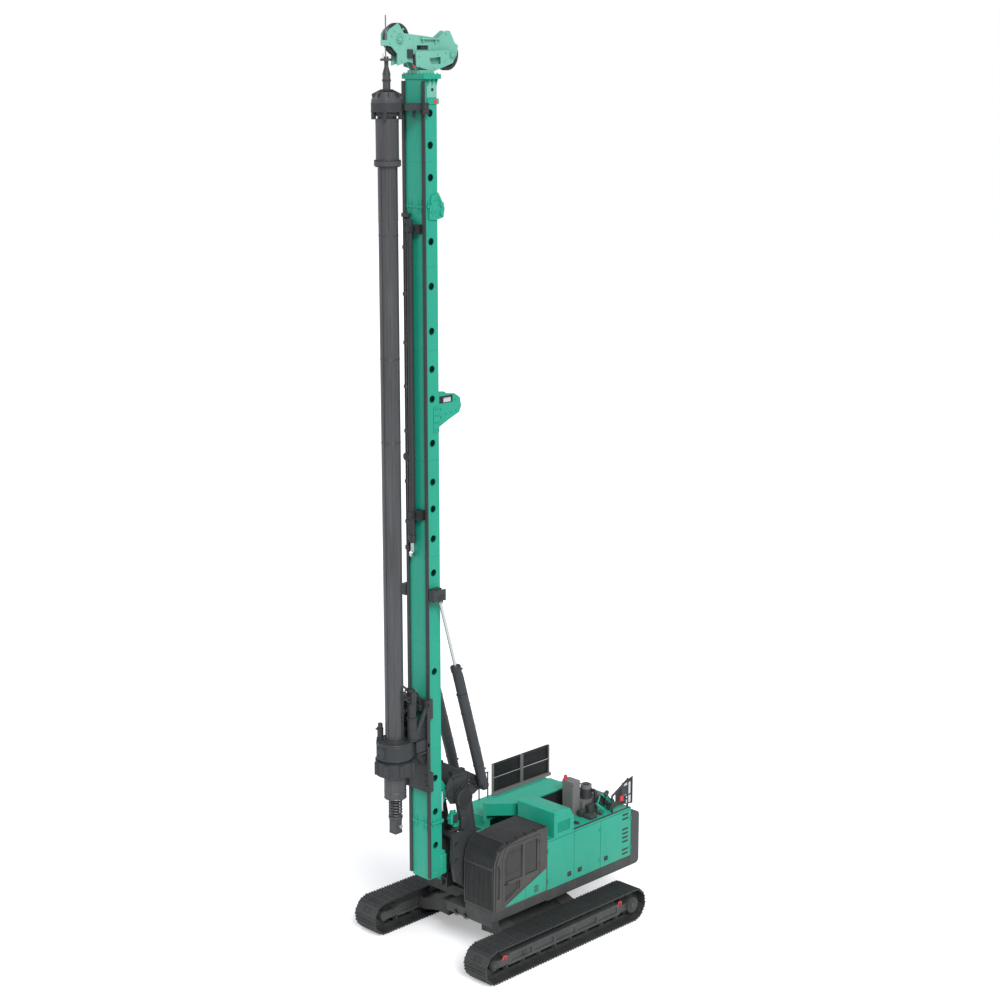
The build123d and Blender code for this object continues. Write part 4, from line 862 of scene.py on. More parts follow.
def treadPlate(name, body, x0, x1, y0, y1, top, s, finish):
    built(name, body, finish, [((x0, y0, top), (x1, y1, top + 0.004))])
    pitch = s["lugPitch"]
    places, sides = [], []
    for i in range(int((x1 - x0 - pitch) / pitch) + 1):
        for j in range(int((y1 - y0 - pitch) / pitch) + 1):
            places.append(((x0 + pitch * (i + 0.7), y0 + pitch * (j + 0.7), top + 0.004), (0, 0, 1)))
            turn = math.radians(45 if (i + j) % 2 else -45)
            sides.append((math.cos(turn), math.sin(turn), 0.0))
    repeated(name + "Lugs", body, treadLug(s), places, sides, finish)


def roofTrim(s):
    roof, x = s["roof"], s["side"]
    treadPlate("leftTread", "upper", 0.52, 1.38, 0.98, 1.5, roof, s, "machineGreen")
    treadPlate("rightTread", "upper", -1.42, -0.62, 0.1, 2.7, roof, s, "machineGreen")
    for i in range(2):
        treadPlate(f"stepTread_{i + 1}", "upper", -1.46, -0.6, -1.28 + i * 0.2, -1.12 + i * 0.2,
                   1.62 + i * 0.32, s, "darkPaint")
    treadPlate("tankTread", "upper", -1.46, -0.6, -0.86, -0.04, 2.25, s, "darkPaint")
    built("roofEdge", "upper", "darkPaint", [
        ((x - 0.055, 0.93, s["deck"]), (x - 0.005, 2.94, roof + 0.012)),
        ((0.43, 2.2, s["deck"]), (0.46, 2.94, roof + 0.012)),
        ((x - 0.3, 2.02, roof), (x - 0.16, 2.1, roof + 0.05)),
        ((x - 0.3, 1.2, roof), (x - 0.16, 1.28, roof + 0.05))], bevel=0.004)
    built("fillerCap", "upper", "blackPaint", drums=[
        ((-1.2, -0.45, 2.25), (-1.2, -0.45, 2.3), 0.075, 28),
        ((-1.2, -0.45, 2.3), (-1.2, -0.45, 2.345), 0.062, 12)])
    built("braces", "upper", "machineGreen", plates=[
        ([(1.14, 2.2, 3.0), (1.14, 2.27, 3.0), (1.14, 2.8, 2.55), (1.14, 2.7, 2.55)], (0.03, 0, 0)),
        ([(1.22, 1.95, 2.84), (1.22, 2.02, 2.84), (1.22, 2.36, 2.55), (1.22, 2.27, 2.55)], (0.03, 0, 0)),
        ([(1.14, 2.2, 2.96), (1.14, 2.2, 2.91), (1.25, 1.98, 2.77), (1.25, 1.98, 2.82)], (0, 0.03, 0)),
        ([(0.95, 2.62, 2.8), (0.95, 2.68, 2.8), (0.95, 2.9, 2.55), (0.95, 2.82, 2.55)], (0.03, 0, 0))])


def roofFittings(s):
    x, y, z = s["redKnob"]
    built("redKnob", "upper", "redPaint", drums=[
        ((x, y, z - 0.005), (x, y, z + 0.03), 0.05, 20),
        ((x, y, z + 0.03), (x, y, z + 0.1), s["knobRadius"], 24)])
    x, y, z = s["redLamp"]
    built("redLamp", "upper", "redPaint", drums=[
        ((x, y, z), (x, y, z + 0.02), 0.065, 24), ((x, y, z + 0.02), (x, y, z + 0.12), 0.055, 24)])
    x, front, back, low, high = s["mirrorPlate"]
    outline = [(x, front, low + 0.1), (x, back, low), (x, back, high), (x, back - 0.22, high - 0.06),
               (x, front, high - 0.26)]
    built("mirrorPlate", "upper", "blackPaint", plates=[(outline, (0.012, 0, 0))])
    ringPipe("mirrorRim", "upper", [(p[0] + 0.006, p[1], p[2]) for p in outline], 0.014, "darkPaint")
    built("mirrorFaces", "upper", "chromedRod", [
        ((x + 0.012, back - 0.33, high - 0.4), (x + 0.02, back - 0.08, high - 0.1)),
        ((x + 0.012, back - 0.24, low + 0.05), (x + 0.02, back - 0.07, low + 0.23))], bevel=0.003)
    built("mirrorShells", "upper", "darkPaint", [
        ((x - 0.03, back - 0.345, high - 0.415), (x + 0.013, back - 0.065, high - 0.085)),
        ((x - 0.03, back - 0.255, low + 0.035), (x + 0.013, back - 0.055, low + 0.245))], bevel=0.004)
    pipe("mirrorStay", "upper", [
        (x, front + 0.05, low + 0.14), (x, front - 0.1, low + 0.05), (x, front - 0.1, 2.55)],
         s["railRadius"], "darkPaint", False)
    x, y, z = s["whiteLamp"]
    built("whiteLamp", "upper", "zincPlate", drums=[((x - 0.045, y, z), (x, y, z), 0.06, 28)])
    ringPipe("whiteLampRim", "upper", roundPoints((x, y, z), (1, 0, 0), 0.062), 0.008, "blackPaint")
    pipe("lampStay", "upper", [(x - 0.035, y, z - 0.05), (x - 0.035, y, s["roof"])], 0.012,
         "darkPaint", False)
    # a thin black sheet on the well's side: painted shade for the inside of the well
    built("wellSide", "upper", "blackPaint", [((0.198, 0.86, 2.552), (0.206, 2.17, 2.955))])
    built("wellEdge", "upper", "machineGreen", [((0.15, 0.84, 2.95), (0.214, 2.18, 2.985))], bevel=0.004)


def coolerCluster(s):
    # ribs and clamps on the round filter and the boxes behind the cross housing
    canister, core, deck, end = s["canister"], s["filterCore"], s["deck"], s["hoseEnd"]
    for x in (0.7, 0.78, 0.86, 0.94, 1.02):
        ringPipe(f"filterRib_{x}", "upper", roundPoints((x, *core), (1, 0, 0), 0.133), 0.008, "darkPaint")
    built("canisterSleeve", "upper", "darkPaint", drums=[
        ((*canister, 2.86), (*canister, 3.1), 0.143, 32), ((*canister, 3.1), (*canister, 3.16), 0.12, 32),
        ((0.655, *core), (0.6, *core), 0.1, 28), ((*canister, 3.185), (*canister, 3.215), 0.085, 28)])
    for z in (2.9, 2.98, 3.06):
        ringPipe(f"canisterRib_{z}", "upper", roundPoints((*canister, z), (0, 0, 1), 0.145),
                 0.007, "darkPaint")
    built("filterEnds", "upper", "blackPaint", drums=[
        ((1.08, *core), (1.095, *core), 0.115, 28), ((1.095, *core), (1.112, *core), 0.035, 12)])
    for name, radius, points in (
            ("filterHose", 0.034, [(1.1, 2.44, 2.74), (1.19, 2.46, 2.73), (1.22, 2.45, 2.65),
                                   (1.22, 2.43, end)]),
            ("canisterHose", 0.04, [(0.9, 2.12, 3.04), (1.02, 2.14, 3.1), (1.1, 2.12, 3.0),
                                    (1.11, 2.11, end)]),
            ("potHose", 0.03, [(0.66, 2.05, 3.03), (0.57, 2.05, 3.05), (0.5, 2.12, 2.92),
                               (0.49, 2.16, end)])):
        pipe(name, "upper", points, radius, "hoseRubber")
    built("coolerBlock", "upper", "darkPaint", [
        ((1.0, 1.86, deck), (1.12, 2.16, 2.78)), ((0.7, 2.6, deck), (1.06, 2.84, 2.66)),
        ((1.15, 1.62, deck), (1.38, 1.86, 2.64)), ((0.98, 1.6, deck), (1.1, 1.76, 2.72))], bevel=0.012)
    places = []
    for z in (2.7, 2.95, 3.2):
        places += rowOf((0.902, 1.6, z), (0.902, 1.74, z), 2, (1, 0, 0))
    bolts("potBolts", "upper", places, 0.018, 0.008, "greyPaint")
    built("potBands", "upper", "greyPaint", [
        ((0.495, 1.535, z), (0.905, 1.805, z + 0.02)) for z in (2.64, 3.3)], bevel=0.004)
    built("ventBlades", "upper", "machineGreen", plates=[
        ([(1.466, 0.342, z), (1.494, 0.342, z - 0.018), (1.494, 0.768, z - 0.018), (1.466, 0.768, z)],
         (0, 0, 0.004))
        for z in [2.655 + i * 0.034 for i in range(7)]])
    bolts("housingBolts", "upper", rowOf((1.501, 0.27, 2.6), (1.501, 0.27, 3.1), 4, (1, 0, 0))
          + rowOf((1.501, 0.86, 2.6), (1.501, 0.86, 2.88), 3, (1, 0, 0)), 0.018, 0.008, "machineGreen")


def rightSide(s):
    x, deck = -s["side"], s["deck"]
    seams = (0.06, 0.98, 1.9, 2.9)
    built("rightCovers", "upper", "machineGreen",
          [((x - 0.006, a + 0.012, 1.34), (x + 0.01, b - 0.012, 2.5)) for a,
           b in zip(seams, seams[1:])], bevel=0.004)
    built("rightLatches", "upper", "blackPaint",
          [((x - 0.013, y - 0.05, 1.49), (x - 0.002, y + 0.05, 1.56))
           for y in (0.2, 1.12, 2.04)], bevel=0.003)
    built("rightHinges", "upper", "darkPaint", drums=[
        ((x - 0.012, b - 0.03, z - 0.05), (x - 0.012, b - 0.03, z + 0.05), 0.012, 14)
        for b in seams[1:] for z in (1.53, 2.28)])
    built("rightLouvres", "upper", "machineGreen", plates=[
        ([(x - 0.005, 2.2, z), (x - 0.019, 2.2, z - 0.03), (x - 0.019, 2.7, z - 0.03), (x - 0.005, 2.7, z)],
         (0, 0, 0.004)) for z in [1.78 + i * 0.06 for i in range(9)]])
    pipe("tankRail", "upper", [(x + 0.05, y, z) for y, z in (
        (-1.26, 1.31), (-1.26, 2.35), (-1.1, 2.62), (-0.3, 2.92), (-0.1, 2.92), (-0.04, 2.8), (-0.04, 2.26))],
         s["railRadius"], "darkPaint")
    pipe("levelGauge", "upper", [(x - 0.012, -0.3, 1.4), (x - 0.012, -0.3, 2.14)], 0.01, "zincPlate", False)
    guards = []
    for y in (1.19, 2.14, 2.2, 3.16):
        guards += rowOf((x + 0.041, y, 2.62), (x + 0.041, y, 3.26), 4, (1, 0, 0))
    bolts("guardBolts", "upper", guards, 0.018, 0.008)
    built("guardFeet", "upper", "greyPaint", [
        ((x, y - 0.04, deck), (x + 0.14, y + 0.04, 2.562)) for y in (1.25, 2.08, 2.26, 2.9)], bevel=0.003)
    built("guardBeam", "upper", "greyPaint",
          [((x + 0.045, 1.12, deck), (x + 0.135, 3.17, 2.625))], bevel=0.006)
    built("guardPosts", "upper", "greyPaint", [
        ((x + 0.041, y - 0.02, 2.56), (x + 0.075, y + 0.02, 3.345))
        for y in (1.165, 2.145, 2.2, 3.15)], bevel=0.005)
    pipe("guardWire", "upper", [(x + 0.055, 1.15, 2.985), (x + 0.055, 3.17, 2.985)], 0.011,
         "chromedRod", False)
    guardMesh = bmesh.new()
    for i in range(34):
        y = 1.22 + i * 0.0275
        for shift in (0.0, 1.0):
            addBlock(guardMesh, (x + 0.024, y + shift, 2.59), (x + 0.029, y + shift + 0.004, 3.3))
    finishMesh("guardMesh", "upper", guardMesh, "blackPaint")


def counterweightTrim(s):
    rear, lamps, eyes = s["rear"], (-s["lampX"], s["lampX"]), (-0.95, 0.95)
    for x in eyes:
        points = [(x + dx, 3.08, z) for dx, z in (
            (-0.06, 2.39), (-0.055, 2.47), (0, 2.51), (0.055, 2.47), (0.06, 2.39))]
        pipe(f"liftEye_{x}", "upper", points, 0.02, "darkPaint")
    bolts("weightBolts", "upper", facing((0, 1, 0), [(x, rear, 1.75) for x in eyes]), 0.085,
          0.04, "castWeight")
    built("weightSeams", "upper", "blackPaint", [((-1.49, rear - 0.002, 1.385), (1.49, rear + 0.002, 1.397))])
    built("rearLamps", "upper", "redPaint", [
        ((x - 0.07, rear - 0.004, 1.52), (x + 0.07, rear + 0.022, 1.6)) for x in lamps], bevel=0.006)
    built("rearLampBoxes", "upper", "blackPaint", [
        ((x - 0.085, rear - 0.006, 1.505), (x + 0.085, rear + 0.01, 1.615)) for x in lamps], bevel=0.004)
    built("rearCamera", "upper", "blackPaint", [((-0.06, rear - 0.14, 2.395), (0.06, rear - 0.02, 2.46))],
          [((0, rear - 0.02, 2.43), (0, rear - 0.002, 2.43), 0.022, 20)], bevel=0.008)


latchPieces(houseParts)
louvreBlades(houseParts)
roofTrim(houseParts)
roofFittings(houseParts)
coolerCluster(houseParts)
rightSide(houseParts)
counterweightTrim(houseParts)
print("houses and deck dressed")

# Cab: seals, handles, edges, trim, and what stands inside it

cabParts = {
    "side": 1.5, "front": -1.75, "floor": 1.35, "sealRadius": 0.009, "guardX": (0.585, 1.475),
    "guardOut": 0.044,
    "seatX": (0.79, 1.27), "cushionPuff": 0.035, "leverHeight": 0.24,
}


def cabOutside(s):
    x, front, seal = s["side"], s["front"], s["sealRadius"]
    panes = {
        "lowPane": ((-1.4, 1.505), (-0.98, 1.67), (-0.98, 1.865), (-1.4, 1.865)),
        "frontPane": ((-1.4, 1.925), (-0.82, 1.925), (-0.82, 2.715), (-1.29, 2.715), (-1.4, 2.485)),
        "rearPane": ((-0.74, 1.925), (-0.33, 1.925), (-0.33, 2.715), (-0.74, 2.715)),
    }
    for name, outline in panes.items():
        ringPipe(name + "Seal", "cab_door", [(x - 0.003, y, z) for y, z in outline], seal, "cabPaint")
    ringPipe("windscreenSeal", "upper", [(a, front - 0.001, z) for a, z in (
        (0.61, 1.5), (1.41, 1.5), (1.41, 2.33), (0.61, 2.33))], seal, "blackPaint")
    ringPipe("sideSeal", "upper", [(0.558, y, z) for y, z in (
        (-1.66, 1.9), (-0.2, 1.9), (-0.2, 2.78), (-1.31, 2.78), (-1.505, 2.66), (-1.64, 2.56),
        (-1.66, 2.53))],
             seal, "blackPaint")
    built("doorHandle", "cab_door", "blackPaint", [
        ((x - 0.002, -1.415, 1.875), (x + 0.012, -1.29, 1.915)),
        ((x + 0.01, -1.4, 1.885), (x + 0.026, -1.31, 1.905))], bevel=0.004)
    pipe("grabRail", "upper", [(x + dx, y, z) for dx, y, z in (
        (0.002, -1.63, 1.62), (0.045, -1.63, 1.64), (0.05, -1.63, 1.72), (0.05, -1.62, 2.3),
        (0.045, -1.62, 2.38),
        (0.002, -1.62, 2.4))], 0.014, "blackPaint")


def cabEdges(s):
    # the black roof sheet, and the edges and seals that follow the cab's side outline
    x, front = s["side"], s["front"]
    edge = [(front, 1.34), (front, 2.35), (front + 0.05, 2.56), (front + 0.15, 2.74), (front + 0.36, 2.87),
            (front + 0.87, 2.92), (-0.06, 2.93)]
    roofSheet = bmesh.new()
    rows = [[roofSheet.verts.new((a, y + dy, z + dz)) for (y, z), (dy, dz) in zip(edge[2:], lifts)]
            for lifts in (((-0.001, 0.0005), (-0.0005, 0.001), (0, 0.001), (0, 0.001), (0, 0.001)),
                          ((-0.006, 0.004), (-0.005, 0.006), (-0.002, 0.007), (0, 0.007), (0, 0.007)))
            for a in (0.575, 1.455)]
    inLeft, inRight, outLeft, outRight = rows
    for i in range(4):
        for first, second in ((outLeft, outRight), (inRight, inLeft), (inLeft, outLeft), (outRight, inRight)):
            roofSheet.faces.new((first[i], second[i], second[i + 1], first[i + 1]))
    for i in (0, 4):
        roofSheet.faces.new((inLeft[i], inRight[i], outRight[i], outLeft[i]))
    finishMesh("roofSheet", "upper", roofSheet, "blackPaint")
    pipe("pillarEdge", "upper", [(x + 0.004, y - 0.008, z + 0.004) for y, z in edge], 0.016, "cabPaint")
    pipe("pillarSeal", "upper", [(x + 0.002, y + 0.045, z - 0.02) for y, z in edge[:6]], 0.009, "blackPaint")
    pipe("roofGutter", "upper", [(x + 0.003, y, z + 0.008) for y, z in edge[3:]], 0.024, "blackPaint")
    pipe("guardSide", "upper", [(x - 0.02, y - 0.035, z + 0.012) for y, z in edge[:5]], 0.015, "blackPaint")
    clips = bmesh.new()
    for y, z in ((-1.3, 2.885), (-1.02, 2.915), (-0.72, 2.93), (-0.42, 2.935), (-0.14, 2.938)):
        addBlock(clips, (x - 0.045, y - 0.028, z - 0.03), (x + 0.034, y + 0.028, z + 0.035), 0.006)
    finishMesh("gutterClips", "upper", clips, "blackPaint")


def cabTrim(s):
    x, out = s["side"], s["front"] - s["guardOut"]
    bolts("sidePanelBolts", "upper", facing((1, 0, 0), [(x, y, 1.4) for y in (-0.12, -0.42, -0.72, -1.02)]),
          0.018, 0.007, "machineGreen")
    built("panelSeam", "upper", "blackPaint", [((x - 0.001, -0.723, 1.345), (x + 0.001, -0.717, 1.6))])
    guard = []
    for a in s["guardX"]:
        guard += rowOf((a, out, 1.37), (a, out, 2.31), 4, (0, -1, 0))
    bolts("guardFrameBolts", "upper", guard, 0.02, 0.01, "blackPaint")
    ringPipe("smallPane", "cab_door", [(x - 0.001, y, z) for y, z in (
        (-1.34, 2.1), (-0.84, 2.1), (-0.84, 2.6), (-1.26, 2.6), (-1.34, 2.4))], 0.004, "cabPaint")
    built("sideVent", "upper", "darkPaint", [
        ((x - 0.001, -0.44, 1.4 + i * 0.035), (x + 0.006, -0.3, 1.415 + i * 0.035)) for i in range(5)],
          bevel=0.001)


def softBlock(name, low, high, puff):
    # a crowned cushion: a subdivided block whose faces swell outwards
    bm = bmesh.new()
    addBlock(bm, low, high)
    bmesh.ops.subdivide_edges(bm, edges=bm.edges[:], cuts=3, use_grid_fill=True)
    middle = (Vector(low) + Vector(high)) / 2
    half = (Vector(high) - Vector(low)) / 2
    thin = min(range(3), key=lambda i: half[i])
    for vert in bm.verts:
        r = [(vert.co[i] - middle[i]) / half[i] for i in range(3)]
        others = [r[i] for i in range(3) if i != thin]
        crown = (1 - others[0] ** 2) * (1 - others[1] ** 2)
        vert.co[thin] += puff * crown * (1 if r[thin] > 0 else -1) * 0.8
        for i in range(3):
            if i != thin:
                vert.co[i] = middle[i] + (vert.co[i] - middle[i]) * (1 - 0.03 * abs(r[thin]))
    piece = finishMesh(name, "upper", bm, "seatCloth", True)
    smoother = piece.modifiers.new("soft", "SUBSURF")
    smoother.levels = 2
    smoother.render_levels = 2
    return piece


def makeSeat(s):
    x0, x1 = s["seatX"]
    puff = s["cushionPuff"]
    seatCushion = softBlock("seatCushion", (x0, -1.0, 1.64), (x1, -0.47, 1.79), puff)
    backCushion = softBlock("backCushion", (x0 + 0.02, -0.49, 1.8), (x1 - 0.02, -0.36, 2.33), puff)
    headRest = softBlock("headRest", (x0 + 0.13, -0.47, 2.355), (x1 - 0.13, -0.38, 2.52), 0.02)
    for side, x in (("Left", x0 - 0.05), ("Right", x1 + 0.05)):
        rest = softBlock("armRest" + side, (x - 0.035, -0.86, 1.925), (x + 0.035, -0.52, 1.975), 0.012)
    seatBase = built("seatBase", "upper", "blackPaint", [
        ((0.82, -0.98, 1.35), (1.24, -0.4, 1.4)), ((0.86, -0.95, 1.4), (1.2, -0.45, 1.58)),
        ((0.83, -0.99, 1.58), (1.23, -0.46, 1.655)), ((0.86, -0.44, 1.66), (1.2, -0.35, 1.86)),
        ((x0 - 0.075, -0.8, 1.86), (x0 - 0.025, -0.42, 1.925)),
        ((x1 + 0.025, -0.8, 1.86), (x1 + 0.075, -0.42, 1.925)), ((0.94, -0.41, 2.3), (0.96, -0.4, 2.4)),
        ((1.1, -0.41, 2.3), (1.12, -0.4, 2.4))], bevel=0.008)
    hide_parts("operator_seat")
    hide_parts("operator_seat")
    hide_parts("operator_seat")
    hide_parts("operator_seat")


def cabInside(s):
    floor, lever = s["floor"], s["leverHeight"]
    grip = 1.865
    built("consoles", "upper", "blackPaint", [
        ((0.64, -1.02, floor), (0.74, -0.42, 1.84)), ((1.32, -1.02, floor), (1.4, -0.42, 1.84)),
        ((0.64, -1.1, 1.8), (0.75, -0.5, 1.87)), ((1.31, -1.1, 1.8), (1.41, -0.5, 1.87)),
        ((0.62, -1.66, floor), (1.44, -1.58, 1.46)), ((0.7, -0.22, floor), (1.36, -0.08, 1.75))], bevel=0.012)
    for i, x in enumerate((0.695, 1.36)):
        pipe(f"joystick_{i + 1}", "upper", [(x, -1.0, grip), (x, -1.005, 1.9), (x, -1.01, grip + lever * 0.5),
                                            (x, -1.02, grip + lever * 0.62)], 0.011, "zincPlate")
        built(f"gripHandle_{i + 1}", "upper", "blackPaint", drums=[
            ((x, -1.015, 1.985), (x, -1.03, 2.095), 0.024, 20),
            ((x, -1.03, 2.095), (x, -1.032, 2.105), 0.018, 20),
            ((x, -1.0, grip), (x, -1.0, 1.885), 0.045, 24)])
    pipe("displayArm", "upper", [(0.66, -1.3, 1.55), (0.68, -1.36, 1.8), (0.72, -1.4, 1.98)],
         0.014, "blackPaint")
    built("displayCase", "upper", "blackPaint", [((0.66, -1.42, 1.96), (0.9, -1.385, 2.14))], bevel=0.008)
    built("displayFace", "upper", "zincPlate", [((0.675, -1.384, 1.975), (0.885, -1.382, 2.125))])
    for i, x in enumerate((0.9, 1.0, 1.1, 1.2)):
        built(f"pedal_{i + 1}", "upper", "zincPlate", plates=[
            ([(x - 0.035, -1.52, floor + 0.14), (x + 0.035, -1.52, floor + 0.14),
              (x + 0.035, -1.4, floor + 0.04),
              (x - 0.035, -1.4, floor + 0.04)], (0, 0, 0.008))])
        pipe(f"pedalLever_{i + 1}", "upper", [(x, y, floor + rise) for y, rise in (
            (-1.5, 0.12), (-1.46, 0.26), (-1.45, 0.36))], 0.008, "blackPaint")
    built("floorMat", "upper", "hoseRubber", [((0.62, -1.6, floor - 0.001), (1.44, -0.1, floor + 0.006))])


cabOutside(cabParts)
cabEdges(cabParts)
cabTrim(cabParts)
makeSeat(cabParts)
cabInside(cabParts)
print("cab dressed")


# Rings and tapered parts that many of the next pieces share
def addTorus(bm, centre, axis, radius, tube, around=24, sides=6):
    centre, axis = Vector(centre), Vector(axis).normalized()
    across = axis.orthogonal().normalized()
    other = axis.cross(across)
    rings = []
    for i in range(around):
        t = 2 * math.pi * i / around
        out = math.cos(t) * across + math.sin(t) * other
        rings.append([bm.verts.new(centre + out * (radius + tube * math.cos(2 * math.pi * j / sides))
                                   + axis * tube * math.sin(2 * math.pi * j / sides)) for j in range(sides)])
    for i in range(around):
        a, b = rings[i], rings[(i + 1) % around]
        for j in range(sides):
            k = (j + 1) % sides
            bm.faces.new((a[j], b[j], b[k], a[k]))


def ringsOf(name, body, finish, rings):
    # one mesh out of rings (centre, axis, radius, tube)
    bm = bmesh.new()
    for centre, axis, radius, tube in rings:
        addTorus(bm, centre, axis, radius, tube)
    return finishMesh(name, body, bm, finish, True)


def between(start, end, share):
    return Vector(start).lerp(Vector(end), share)


def clamped(name, body, routes, radius, finish="hoseRubber"):
    # hoses held along their whole run, each a smooth pipe with a band near every second point
    bands = bmesh.new()
    for i, points in enumerate(routes):
        pipe(f"{name}_{i + 1}", body, points, radius, finish, sides=10)
        for a, b in list(zip(points, points[1:]))[1::2]:
            way = (Vector(b) - Vector(a)).normalized() * 0.012
            middle = between(a, b, 0.5)
            addDrum(bands, middle - way, middle + way, radius * 1.25, 12)
    finishMesh(name + "Bands", body, bands, "zincPlate", True)


def bothRoutes(routes):
    return routes + [[(-x, y, z) for x, y, z in route] for route in routes]


def stepped(x, centre, steps):
    # drums one on another along X from x, each step with its depth, radius and sides
    drums = []
    for depth, radius, sides in steps:
        drums.append(((x, *centre), (x + depth, *centre), radius, sides))
        x += depth
    return drums


# Linkage: pin caps, the head's covers and discs, clamped hoses, the cylinders' glands and pipes

linkParts = {
    "boomFoot": (-1.35, 1.55), "boomTop": (-1.7, 3.8), "mastPivot": (-1.98, 3.93),
    "cylinderBase": (-1.05, 3.93), "cylinderEye": (-2.4, 8.65), "armOut": 0.47, "plateOut": 0.516,
    "discOut": 0.526, "luffFoot": (-0.95, 1.61), "discRadius": 0.23, "headOut": 0.324, "barrelLength": 2.45,
    "cylinderX": 0.45, "barrelRadius": 0.108, "rodShown": 1.77,
}


def dressArms(s):
    out = s["armOut"]
    edge = [(-1.5, 1.53), (-1.95, 1.8), (-2.05, 2.35), (-2.02, 2.92), (-1.66, 2.98), (-1.87, 3.74)]
    back = [(-1.54, 3.74), (-1.35, 2.95), (-1.2, 2.2), (-1.2, 1.57)]
    beads = []
    for side in (1, -1):
        x = side * out
        for i, line in enumerate((edge, back)):
            pipe(f"armEdge_{side}_{i}", "boom", [(x, y, z) for y, z in line], 0.0055, "darkPaint", False, 8)
        for y, z, r in ((-1.95, 2.72, 0.062), (-1.94, 2.35, 0.047), (-1.83, 1.97, 0.047)):
            beads.append(((x, y, z), (1, 0, 0), r + 0.006, 0.008))
    ringsOf("armHoleRims", "boom", "darkPaint", beads)
    built("armPads", "boom", "darkPaint", bothSides([
        ((out - 0.002, -1.62, 2.02), (out + 0.012, -1.3, 2.3)),
        ((out - 0.002, -1.78, 3.05), (out + 0.01, -1.56, 3.35))]), bevel=0.004)
    places = facing((1, 0, 0), [(out + 0.012, y, z) for y in (-1.58, -1.34) for z in (2.06, 2.26)])
    bolts("armPadBolts", "boom", places + mirrored(places), 0.03, 0.014, "darkPaint")
    built("valveBlock", "boom", "machineGreen", [
        ((0.235, -1.98, 3.18), (0.35, -1.76, 3.42)), ((0.26, -1.86, 3.08), (0.34, -1.7, 3.2)),
        ((0.25, -1.94, 3.41), (0.33, -1.86, 3.49))],
          [((0.3, -1.99, 3.34), (0.3, -2.03, 3.34), 0.03, 16),
           ((0.27, -1.79, 3.42), (0.27, -1.79, 3.47), 0.025, 16)], bevel=0.012)
    built("valveBracket", "boom", "darkPaint", [((0.345, -1.92, 3.2), (0.375, -1.8, 3.4))], bevel=0.004)
    run = ((-1.29, 1.8), (-1.31, 2.05), (-1.36, 2.4), (-1.44, 2.8), (-1.53, 3.2), (-1.62, 3.52))
    clamped("armHoses", "boom", bothRoutes([[(x, y, z) for y, z in run] for x in (0.3, 0.338)]), 0.017)
    built("hoseClamps", "boom", "darkPaint", bothSides([
        ((0.27, y, z), (0.373, back, z + 0.05)) for y, back, z in (
            (-1.36, -1.31, 2.1), (-1.5, -1.44, 2.86), (-1.6, -1.54, 3.34))]), bevel=0.004)
    ringsOf("tubeWelds", "boom", "darkPaint", [
        ((side * 0.366, s["boomFoot"][0] - 0.215, 2.7), (1, 0, 0), 0.084, 0.012) for side in (1, -1)])


def dressHead(s):
    top, pivot, base = s["boomTop"], s["mastPivot"], s["cylinderBase"]
    out, r, skull = s["discOut"], s["discRadius"], s["headOut"]
    built("headDiscs", "head", "blackPaint",
          drums=bothSides([((out, *top), (out + 0.006, *top), r * 0.93, 56)]))
    ringsOf("headDiscRims", "head", "darkPaint", [
        ((side * (out + 0.002), *top), (1, 0, 0), r - 0.013, 0.013) for side in (1, -1)])
    built("headCaps", "head", "blackPaint",
          bothSides([((0.286, pivot[0] - 0.03, 4.395), (0.425, pivot[0] + 0.385, 4.475))]), bevel=0.022)
    built("headRibs", "head", "darkPaint", bothSides([
        ((0.322, -1.86, 3.72), (0.345, -1.82, 4.32)), ((0.322, -1.42, 3.86), (0.345, -1.38, 4.3)),
        ((0.322, -1.8, 4.1), (0.338, -1.42, 4.14))]), bevel=0.004)
    built("headPins", "head", "darkPaint", drums=bothSides(
        stepped(skull, pivot, ((0.03, 0.1, 32), (0.015, 0.055, 6)))
        + stepped(s["cylinderX"] + 0.07, base, ((0.025, 0.095, 32),))))
    places = ringOf((skull + 0.03, *pivot), (1, 0, 0), 0.078, 6)
    places += ringOf((s["cylinderX"] + 0.095, *base), (1, 0, 0), 0.065, 6)
    places += rowOf((skull, -1.9, 4.24), (skull, -1.55, 4.32), 4, (1, 0, 0))
    places += rowOf((skull, -1.3, 4.15), (skull, -1.05, 4.02), 3, (1, 0, 0))
    bolts("headBolts", "head", places + mirrored(places), 0.024, 0.012, "darkPaint")
    routes = [[(0.346, -1.6, 3.9), (0.352, -1.5, 4.02), (0.352, -1.36, 4.04), (0.352, -1.22, 3.98),
               (0.348, -1.16, 3.86)],
              [(0.346, -1.66, 4.0), (0.352, -1.52, 4.12), (0.352, -1.34, 4.13), (0.352, -1.18, 4.05),
               (0.348, -1.1, 3.98)]]
    clamped("headHoses", "head", bothRoutes(routes), 0.014)


